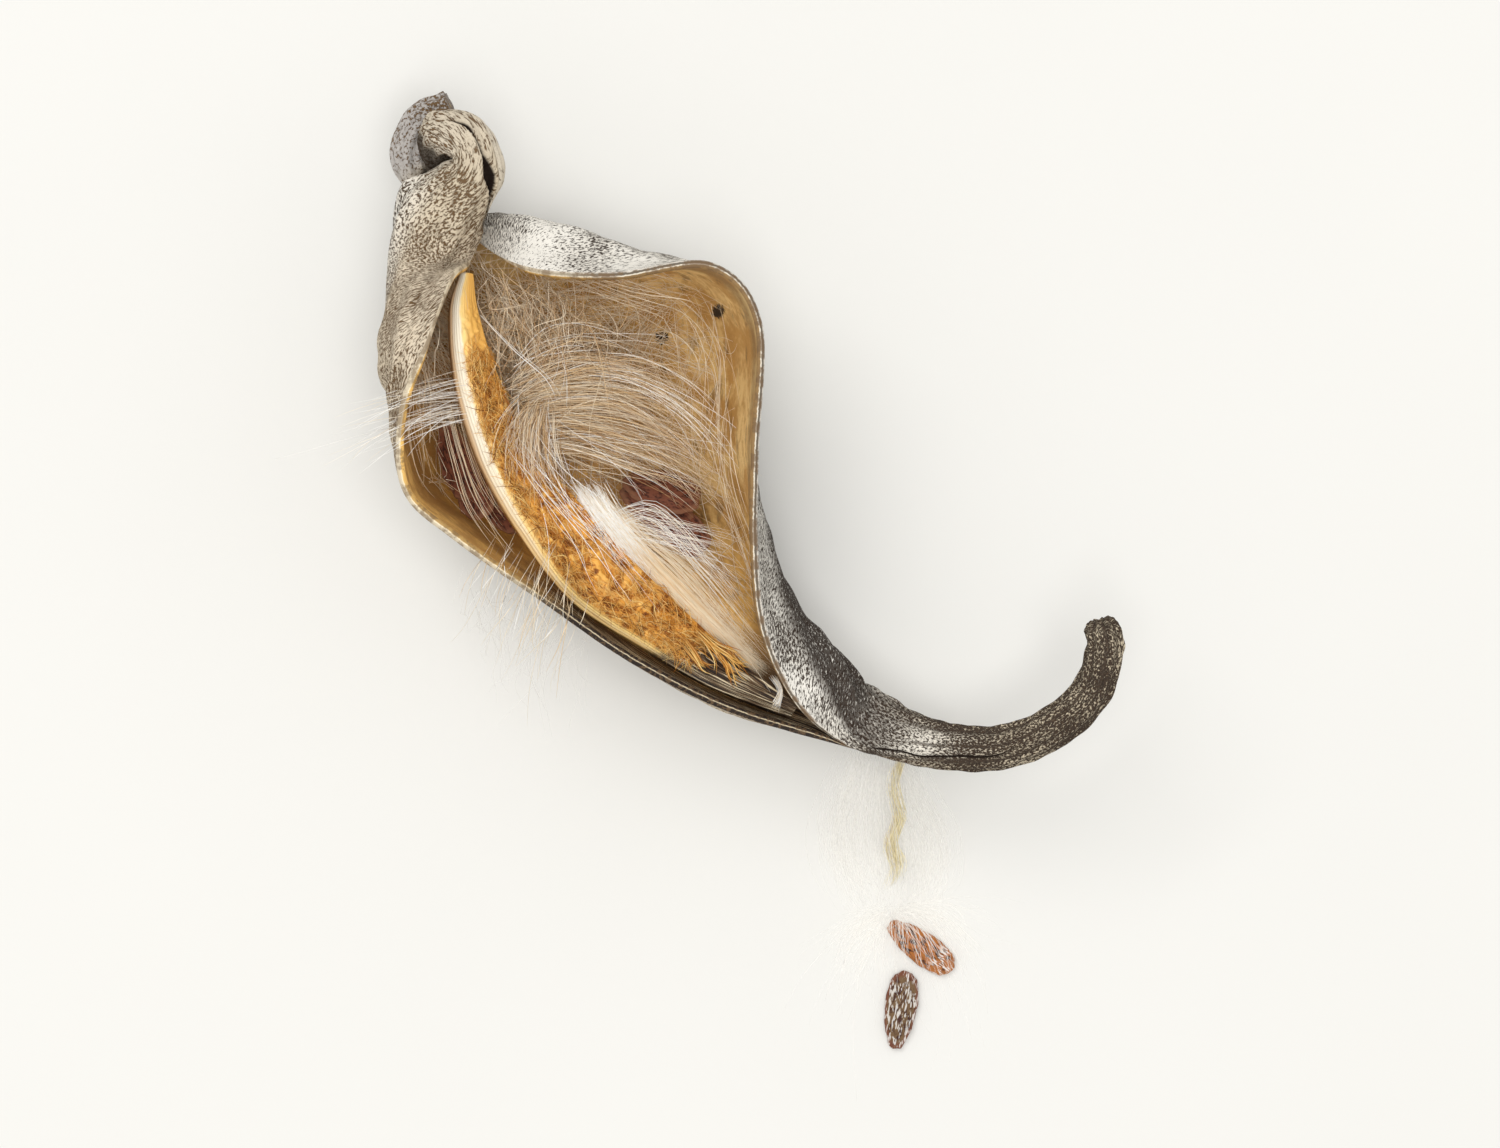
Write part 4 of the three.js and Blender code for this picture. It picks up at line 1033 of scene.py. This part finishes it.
def husk_skin():
    """Woolly outside: pale felt with fine dark specks, and dark lengthwise streaks to the tail;
    painted shade in the hook's eye and in the neck's open crack.
    """
    p = Paint("Pod skin", Roughness=0.92, Specular_IOR_Level=0.15)
    grain = p.field("grain")
    t, s, depth = p.parts("place")
    at = p.millimetres()
    patch = p.noise(at, 0.16, 2.0, 0.5)
    specks = p.noise(p.warped(p.scaled(grain, (2.3, 4.0, 1)), 0.7, 0.9), 1.0, 3.0, 0.66)
    small = p.noise(p.warped(p.scaled(grain, (3.6, 6.4, 1)), 0.7, 0.8), 1.0, 3.0, 0.66)
    fine = p.noise(at, 6.0, 2.0, 0.6)
    streak = p.noise(grain, (0.05, 1.7, 1), 2.0, 0.5)
    flecks = p.noise(grain, (1.9, 3.4, 1), 4.0, 0.7)

    neck = p.between(t, OPENS + 1.2, OPENS - 1.2)
    hook = p.between(t, 8.6, 6.4)
    stalk = p.between(t, 3.0, 2.2)
    tail = p.between(t, CLOSES - 1.5, CLOSES + 2.5)
    middle = p.between(s, 3.9, 4.5) * p.between(s, 5.75, 5.5)
    middle = middle * p.between(t, CLOSES + 3.4, CLOSES + 1.4)
    left = p.between(s, 2.9, 1.6) * (1 - tail)
    band = p.between(s, 5.7, 5.35) * p.between(s, 3.0, 3.6)
    band = band * p.between(t, CLOSES - 5.0, CLOSES - 3.2)
    band = band * p.between(t, CLOSES + 1.5, CLOSES - 0.5)
    edge = p.between(s, 5.2, 5.75) * (1 - tail)
    base = p.layers(
        "white_wool",
        (p.between(patch, 0.4, 0.65) * 0.45, "wool"),
        (left * 0.9, "tan_wool"),
        (neck * 0.75, "neck_wool"),
        (hook * 0.35, "wool"),
        (stalk * 0.8, "stalk"),
        (tail * (0.85 - 0.5 * middle), "dark_wool"),
    )
    under = p.layers(
        "bark",
        (p.most(left * 0.8, neck * 0.85), "brown_bark"),
        (p.most(band * 0.9, tail * 0.4), "gap"),
    )
    low = p.between(t, CLOSES - 6, CLOSES - 4)
    shift = (patch - 0.5) * 0.3 + 0.03 + 0.075 * tail - 0.07 * tail * middle
    shift = shift - 0.05 * edge * (1 - low)
    slender = p.between(tail, 0.3, 0.6)
    specks = specks * (1 - slender) + small * slender
    felt = p.between(specks - shift, 0.40, 0.49)
    wander = p.wave(t * 1.3) * 0.5 + p.wave(t * 3.1 + s) * 0.25
    ridge = p.wave(s * (2 * math.pi * RIDGES / RIM_END) + wander)
    lines = p.between(ridge + (streak - 0.5) * 1.2, -0.5, -0.9)
    dark = p.most(band * 0.95, lines * tail * 0.9)
    cover = felt * (1 - dark * p.between(flecks, 0.62, 0.54))
    browned = 0.08 + 0.14 * p.most(left, p.most(neck, tail))
    # Painted shade: the gap's dark laid over the eye under the hooked neck's curl.
    eye_shade = p.spot(p.scaled(at, (1, 1, 0)), *HOOK_EYE_SHADE)
    eye_shade = eye_shade * p.between(t, 2.5, 3.1) * p.between(t, 6.1, 5.5)
    colour = p.layers(
        under,
        (cover * (0.85 + 0.15 * fine), base),
        (p.between(fine, 0.4, 0.7) * browned, "brown_bark"),
        (eye_shade * (0.6 + 0.4 * specks), "gap"),
        # The suture's dark: its own on the tail's shut seam, and painted shade in the neck's open
        # crack and its small hole.
        (p.between(depth, -0.15, -0.5), "gap"),
        (p.between(depth, 1.4, 1.9), "cut_end"),
    )
    return p.finish(colour, None, cover * 0.7 + fine * 0.3, 0.16, 0.8)


def dark_end(p, t):
    """How far the husk's mouth has turned into the dark streaked strip of its closed end."""
    return p.between(t, CLOSES - 3.6, CLOSES - 2.7)


def streaked(p, grain):
    """Dark brown with thin pale lines along the pod."""
    streak = p.noise(grain, (0.12, 2.4, 1), 3.0, 0.6)
    fine = p.noise(grain, (1.5, 4.0, 1), 2.0, 0.6)
    colour = p.mix(p.between(streak, 0.42, 0.54), "gap", "brown_bark")
    return p.mix(p.between(streak, 0.52, 0.6) * p.between(fine, 0.3, 0.5), colour, "cream")


def husk_lining():
    """Golden papery inside, mottled, with a dull sheen and two dark spots; painted light on its upper
    right flank and painted shade at its closed end.
    """
    p = Paint("Pod lining", Specular_IOR_Level=0.4)
    grain = p.field("grain")
    t, s, _ = p.parts("place")
    at = p.millimetres()
    blotch = p.noise(at, 0.2, 4.0, 0.6)
    mottle = p.noise(p.warped(at, 0.5, 1.5), 0.9, 4.0, 0.6)
    fibre = p.noise(grain, (2.6, 0.5, 1), 4.0, 0.6)
    scuffs = p.between(p.noise(at, (0.7, 0.25, 0.5), 4.0, 0.65), 0.56, 0.68)
    ragged = p.scaled(p.warped(at, 2.2, 1.1), (1, 1, 0))
    # Paler mottles on the upper right flank: partly the paper's own pale patches, partly painted
    # light where the lamp falls on that flank.
    pale_and_lit_flank = p.between(s, 3.2, 4.8) * p.between(t, CLOSES - 2.6, CLOSES - 4.0)
    top = p.between(t, OPENS + 2.6, OPENS + 0.8)
    # Painted shade at the cavity's closed end, deep under the right rim.
    tip = p.between(t, CLOSES - 2.2, CLOSES - 1.0) * p.between(s, 1.0, 2.0)
    colour = p.layers(
        "lining",
        (p.between(blotch, 0.36, 0.56) * 0.85, "lining_deep"),
        (pale_and_lit_flank * p.between(blotch, 0.62, 0.4) * 0.8, "lining_pale"),
        (p.between(mottle, 0.46, 0.66) * 0.6, "lining_deep"),
        (top * 0.7, "brown_bark"),
        (p.between(fibre, 0.56, 0.75) * 0.25, "lining_pale"),
        (scuffs * 0.55 * p.between(s, 3.0, 4.2), "brown_bark"),
        *((p.spot(ragged, centre, radius), "gap") for centre, radius in LINING_SPOTS),
        (dark_end(p, t) * p.between(s, 2.2, 1.4), streaked(p, grain)),
        (p.between(s, 5.72, 5.92) * 0.6, "brown_bark"),
        # Painted shade at the closed end, in the gap's dark.
        (tip * 0.9, "gap"),
    )
    roughness = 0.45 + 0.25 * mottle
    return p.finish(colour, roughness, fibre * 0.5 + mottle * 0.5, 0.16, 0.8)


def husk_rim():
    """The split edge: felt outside, then a cream line between dark ones on the right."""
    p = Paint("Pod rim", Roughness=0.7, Specular_IOR_Level=0.3)
    t, s, depth = p.parts("place")
    at = p.millimetres()
    worn = p.noise(at, 0.8, 4.0, 0.65)
    fine = p.noise(at, 2.4, 3.0, 0.6)
    ragged = depth + (fine - 0.5) * 0.25
    right = p.between(s, 2.0, 4.0) * p.between(t, OPENS + 1.4, OPENS + 2.8)
    low_left = p.between(s, 4.0, 2.0) * p.between(t, CLOSES - 5.6, CLOSES - 4.4)
    felt = p.mix(right, "neck_wool", "wool")
    line = p.mix(right * 0.85, "neck_wool", "bark")
    inner = p.mix(right * 0.85 + low_left * 0.6, "lining", "brown_bark")
    edge = p.mix(right * 0.7, "cream", "wool")
    end = p.layers(
        "gap",
        (p.between(ragged, 0.5, 0.56) * p.between(ragged, 0.7, 0.62), "dark_wool"),
        (p.between(fine, 0.5, 0.6) * 0.6, "brown_bark"),
    )
    colour = p.layers(
        felt,
        (p.between(ragged, 0.08, 0.18), line),
        (p.between(ragged, 0.38, 0.46), edge),
        (p.between(ragged, 0.54, 0.62), inner),
        (p.between(worn, 0.42, 0.58) * (0.65 + 0.15 * right), "brown_bark"),
        (dark_end(p, t) * p.between(s, 4.0, 2.0), end),
    )
    return p.finish(colour, None, fine, 0.15, 0.7)


def placenta_skin():
    """Ivory rib, golden torn face with painted shade in its hollows, and a dark streaked strip at the
    lower end.
    """
    p = Paint("Placenta", Specular_IOR_Level=0.4)
    place = p.field("place")
    u, v, _ = p.parts("place")
    at = p.millimetres()
    long = p.noise(p.warped(p.scaled(place, (16, 15, 1)), 1.4, 1.2), 1.0, 4.0, 0.66)
    torn = p.noise(p.warped(at, 0.9, 1.4), 0.75, 4.0, 0.62)
    grain = p.noise(place, (16, 60, 1), 3.0, 0.6)
    wobble = v + (p.noise(at, 0.9, 3.0, 0.6) - 0.5) * 0.14
    wobble = wobble + 0.24 * p.between(u, 0.28, 0.55)
    golden = p.between(wobble, 0.35, 0.46)
    netted = p.between(wobble, 0.46, 0.62) * p.between(u, 0.15, 0.24)
    smooth_gold = p.mix(p.between(v, 0.4, 0.75), "gold_light", "gold_pale")
    face = p.layers(
        "gold",
        (p.between(long, 0.4, 0.54), "gold_pale"),
        (p.between(long, 0.6, 0.7), "gold_light"),
        (p.between(torn, 0.46, 0.56) * 0.95, "gold_deep"),
        (p.between(grain, 0.54, 0.64) * 0.55, "gold_deep"),
        # Painted shade in the hollows of the torn net.
        (p.between(torn, 0.54, 0.62) * p.between(long, 0.6, 0.48), "gold_pit"),
    )
    rib = p.layers(
        "ivory",
        (p.between(grain, 0.5, 0.7) * 0.3, "cream"),
        (p.between(v, 0.16, 0.03) * 0.7, "lining_deep"),
        (p.between(grain, 0.62, 0.7) * 0.4, "lining"),
        (p.between(u, 0.3, 0.6) * 0.7, "gold_light"),
        (p.between(grain, 0.5, 0.6) * p.between(u, 0.4, 0.6) * 0.8, "lining_deep"),
    )
    streak = p.noise(place, (7, 34, 1), 3.0, 0.6)
    strip = p.layers(
        "gap",
        (p.between(streak, 0.4, 0.54), "brown_bark"),
        (p.between(streak, 0.52, 0.6) * 0.9, "cream"),
    )
    ending = p.between(u + (p.noise(at, 1.4, 3.0, 0.6) - 0.5) * 0.05 - 0.06 * v, 0.655, 0.7)
    colour = p.layers(rib, (golden, smooth_gold), (netted, face), (ending, strip))
    roughness = 0.5 + 0.2 * netted
    height = grain * 0.2 + (long + torn * 0.6) * netted
    return p.finish(colour, roughness, height, 0.3, 0.9)


def golden_fibre():
    """Torn golden fibres, from pale to deep; each has its own tint."""
    p = Paint("Golden fibre", Roughness=0.45, Specular_IOR_Level=0.5)
    tint, _, other = p.parts("strand")
    colour = p.layers(
        "gold_pale",
        (p.between(tint, 0.2, 0.8), "gold_light"),
        (p.between(other, 0.4, 0.5) * 0.9, "gold"),
        (p.between(other, 0.66, 0.74) * 0.9, "gold_deep"),
        (p.between(other, 0.9, 0.95) * 0.8, "gold_pit"),
    )
    return p.finish(colour)


def silk_floss(name, pale, warm, shade, alpha=1.0):
    """Floss with a soft lustre; each strand has its own tint."""
    p = Paint(name, Roughness=0.45, Specular_IOR_Level=0.3, Alpha=alpha)
    tint, _, other = p.parts("strand")
    colour = p.layers(
        pale,
        (p.between(tint, 0.3, 0.9), warm),
        (p.between(other, 0.6, 0.9) * 0.8, shade),
    )
    return p.finish(colour)


def seed_coat(name, light, edge, threads=0.0, reach=9.0):
    """Corky brown with a paler margin; a loose seed wears pale threads along its length, from its
    blunt end as far as reach, in mm from its middle."""
    p = Paint(name, Roughness=0.7, Specular_IOR_Level=0.2)
    place = p.field("place")
    r, x, _ = p.parts("place")
    at = p.millimetres()
    cork = p.noise(at, 1.8, 4.0, 0.65)
    streak = p.noise(p.warped(p.scaled(place, (0.3, 0.9, 2.2)), 0.8, 0.5), 1.6, 4.0, 0.65)
    colour = p.layers(
        "seed",
        (p.between(streak, 0.38, 0.54), light),
        (p.between(cork, 0.6, 0.75) * 0.5, "seed"),
        (p.between(r + (cork - 0.5) * 0.2, 0.78, 0.95) * 0.8, edge),
    )
    if threads:
        slanted = p.noise(p.warped(p.scaled(place, (0.3, 0.55, 2.6)), 0.7, 0.8), 2.2, 2.0, 0.5)
        lines = p.between(slanted, 0.56 - 0.06 * threads, 0.6)
        lines = lines * p.between(x, reach, reach - 1) * (0.3 + 0.4 * threads)
        colour = p.mix(lines, colour, "silk")
    return p.finish(colour, None, cork, 0.18, 0.8)


def table_top(scene):
    """An even pale surface, with a faint unevenness."""
    p = Paint("Table", Roughness=0.9, Specular_IOR_Level=0.1)
    uneven = p.noise(p.millimetres(), 0.02, 2.0, 0.5)
    return p.finish(p.mix(uneven, scene.pod_stage.floor, scene.pod_stage.floor_shade))


# Stage


def build_stage(scene):
    stage = scene.pod_stage
    reach = stage.floor_size / 2
    mesh = bpy.data.meshes.new("floor")
    corners = [(-reach, -reach, 0), (reach, -reach, 0), (reach, reach, 0), (-reach, reach, 0)]
    mesh.from_pydata(corners, [], [(0, 1, 2, 3)])
    mesh.materials.append(table_top(scene))
    floor = bpy.data.objects.new("floor", mesh)
    floor.location.z = -FLOOR_DROP
    scene.collection.objects.link(floor)

    camera = bpy.data.objects.new("camera", bpy.data.cameras.new("camera"))
    camera.data.lens = stage.lens
    camera.data.sensor_width = FILM_WIDTH
    camera.data.clip_start = NEAREST
    camera.location = (stage.aim[0], stage.aim[1], stage.camera_height)
    scene.collection.objects.link(camera)
    scene.camera = camera

    world = bpy.data.worlds.new("studio")
    scene.world = world
    world.use_nodes = True
    sky = world.node_tree.nodes["Background"]
    sky.inputs["Color"].default_value = (1.0, 0.99, 0.97, 1)
    sky.inputs["Strength"].default_value = stage.sky
    for name, place, size, power in (
        ("key", (-0.35, 0.4, 0.95), 0.6, stage.key),
        ("fill", (0.06, -0.08, 1.17), 0.5, stage.fill),
    ):
        lamp = bpy.data.lights.new(name, "AREA")
        lamp.shape = "SQUARE"
        lamp.size = size
        lamp.energy = power
        holder = bpy.data.objects.new(name, lamp)
        holder.location = place
        holder.rotation_euler = Vector(place).to_track_quat("Z", "Y").to_euler()
        scene.collection.objects.link(holder)
    scene.view_settings.view_transform = "Standard"
    scene.view_settings.look = "None"


# Settings, operators and panel


def colour_of(name, description, screen):
    return FloatVectorProperty(name=name, description=description, default=tone(*screen), size=4,
                               min=0, max=1, subtype="COLOR")


class PodSizes(bpy.types.PropertyGroup):
    wall: FloatProperty(name="Wall", description="Thickness of the husk, in mm", default=1.2)
    rim_wall: FloatProperty(name="Rim wall", description="Thickness of its rims, in mm", default=0.8)
    net_fibres: IntProperty(name="Net fibres", description="Fibres on the golden face", default=2200)
    silk_amount: FloatProperty(name="Silk", description="Share of the silk that is made", default=1.0,
                               min=0.0, max=1.2, subtype="FACTOR")
    hair: FloatProperty(name="Hair", description="Thickness of a strand against its usual one",
                        default=1.0, min=0.3, max=3.0)


class PodColours(bpy.types.PropertyGroup):
    wool: colour_of("Wool", "Felt on the husk", (216, 209, 197))
    white_wool: colour_of("White wool", "Palest felt", (244, 240, 231))
    tan_wool: colour_of("Tan wool", "Felt on the left valve", (216, 200, 174))
    dark_wool: colour_of("Dark wool", "Felt on the tail", (196, 180, 150))
    neck_wool: colour_of("Neck wool", "Felt on the neck", (206, 192, 166))
    stalk: colour_of("Stalk", "Felt on the stalk", (172, 170, 170))
    bark: colour_of("Bark", "Dark skin under the felt", (66, 57, 50))
    brown_bark: colour_of("Brown bark", "Browner skin under the felt", (112, 88, 62))
    # The gap's dark is also painted shade: in the hook's eye, in the neck's open crack and at the
    # lining's closed end.
    gap: colour_of("Gap", "Dark of the suture and the closed tip", (38, 28, 22))
    cut_end: colour_of("Cut end", "Pith at the stalk's cut end", (176, 156, 122))
    lining: colour_of("Lining", "Inside of the husk", (240, 194, 112))
    lining_deep: colour_of("Deep lining", "Darker mottling", (188, 142, 80))
    # Pale lining is also laid on the upper right flank as painted light.
    lining_pale: colour_of("Pale lining", "Brighter paper", (244, 212, 148))
    cream: colour_of("Cream", "Edge of the lining at the rim", (236, 220, 186))
    ivory: colour_of("Ivory", "Rib of the placenta", (243, 234, 212))
    gold: colour_of("Gold", "Face of the placenta", (230, 162, 64))
    gold_deep: colour_of("Deep gold", "Darker fibres", (172, 104, 30))
    gold_pale: colour_of("Pale gold", "Lighter fibres", (238, 184, 94))
    gold_light: colour_of("Light gold", "Smooth gold beside the rib", (252, 218, 142))
    # Painted shade in the net's hollows on the placenta, and the darkest tint of single golden
    # fibres.
    gold_pit: colour_of("Pits", "Hollows of the golden net", (112, 62, 18))
    silk: colour_of("Silk", "White floss", (252, 250, 245))
    silk_warm: colour_of("Warm silk", "Cream strands", (243, 228, 202))
    silk_tan: colour_of("Tan silk", "Strands over the lining", (232, 200, 152))
    silk_shade: colour_of("Shaded silk", "Darker strands", (176, 130, 76))
    silk_yellow: colour_of("Yellow silk", "The twisted string", (250, 238, 196))
    seed: colour_of("Seed", "Seed coat", (64, 38, 32))
    seed_red: colour_of("Red seed", "Redder places", (120, 72, 54))
    seed_edge: colour_of("Seed edge", "Margin of a seed", (136, 96, 72))
    russet: colour_of("Russet", "The upper loose seed", (166, 104, 54))


class PodStage(bpy.types.PropertyGroup):
    floor: colour_of("Floor", "Table top", (224, 223, 219))
    floor_shade: colour_of("Floor shade", "Its faint unevenness", (221, 220, 216))
    floor_size: FloatProperty(name="Floor size", description="Side of the floor", default=6.0,
                              unit="LENGTH")
    lens: FloatProperty(name="Lens", description="Focal length, in mm", default=180.0)
    camera_height: FloatProperty(name="Camera height", description="Height over the floor",
                                 default=0.77, unit="LENGTH")
    aim: FloatVectorProperty(name="Aim", description="Point under the camera", size=2,
                             default=(0.0, 0.0), subtype="XYZ", unit="LENGTH")
    sky: FloatProperty(name="Sky", description="Strength of the even light", default=0.7)
    key: FloatProperty(name="Key", description="Power of the main light, in W", default=3.5)
    fill: FloatProperty(name="Fill", description="Power of the second light, in W", default=5.6)


class POD_OT_husk(bpy.types.Operator):
    """Make the husk: both valves, the hooked stalk and the curled tail"""
    bl_idname = "pod.husk"
    bl_label = "Husk"

    def execute(self, context):
        build_husk(context.scene)
        return {"FINISHED"}


class POD_OT_placenta(bpy.types.Operator):
    """Make the placenta with its golden net"""
    bl_idname = "pod.placenta"
    bl_label = "Placenta"

    def execute(self, context):
        build_placenta(context.scene)
        return {"FINISHED"}


class POD_OT_seeds(bpy.types.Operator):
    """Make the seeds in the pod and the two loose ones"""
    bl_idname = "pod.seeds"
    bl_label = "Seeds"

    def execute(self, context):
        build_seeds()
        return {"FINISHED"}


class POD_OT_silk(bpy.types.Operator):
    """Make the silk: the band, the fan, the stray strands and the string"""
    bl_idname = "pod.silk"
    bl_label = "Silk"

    def execute(self, context):
        build_silk(context.scene)
        return {"FINISHED"}


class POD_OT_stage(bpy.types.Operator):
    """Make the floor, the camera and the lights"""
    bl_idname = "pod.stage"
    bl_label = "Stage"

    def execute(self, context):
        build_stage(context.scene)
        return {"FINISHED"}


class POD_PT_panel(bpy.types.Panel):
    """Lists the pod's settings and its makers"""
    bl_idname = "POD_PT_panel"
    bl_label = "Milkweed pod"
    bl_space_type = "VIEW_3D"
    bl_region_type = "UI"
    bl_category = "Pod"

    def draw(self, context):
        for group in (context.scene.pod_sizes, context.scene.pod_colours, context.scene.pod_stage):
            for key in group.bl_rna.properties.keys():
                if key not in ("rna_type", "name"):
                    self.layout.prop(group, key)
        for operator in OPERATORS:
            self.layout.operator(operator.bl_idname)


OPERATORS = (POD_OT_husk, POD_OT_placenta, POD_OT_seeds, POD_OT_silk, POD_OT_stage)
GROUPS = {"pod_sizes": PodSizes, "pod_colours": PodColours, "pod_stage": PodStage}


def register():
    for item in (*GROUPS.values(), *OPERATORS, POD_PT_panel):
        bpy.utils.register_class(item)
    for key, group in GROUPS.items():
        setattr(bpy.types.Scene, key, PointerProperty(type=group))


def unregister():
    for key in GROUPS:
        delattr(bpy.types.Scene, key)
    for item in (POD_PT_panel, *reversed(OPERATORS), *reversed(GROUPS.values())):
        bpy.utils.unregister_class(item)


def main():
    register()
    bpy.ops.pod.husk()
    bpy.ops.pod.placenta()
    bpy.ops.pod.seeds()
    bpy.ops.pod.silk()
    bpy.ops.pod.stage()


if __name__ == "__main__":
    main()
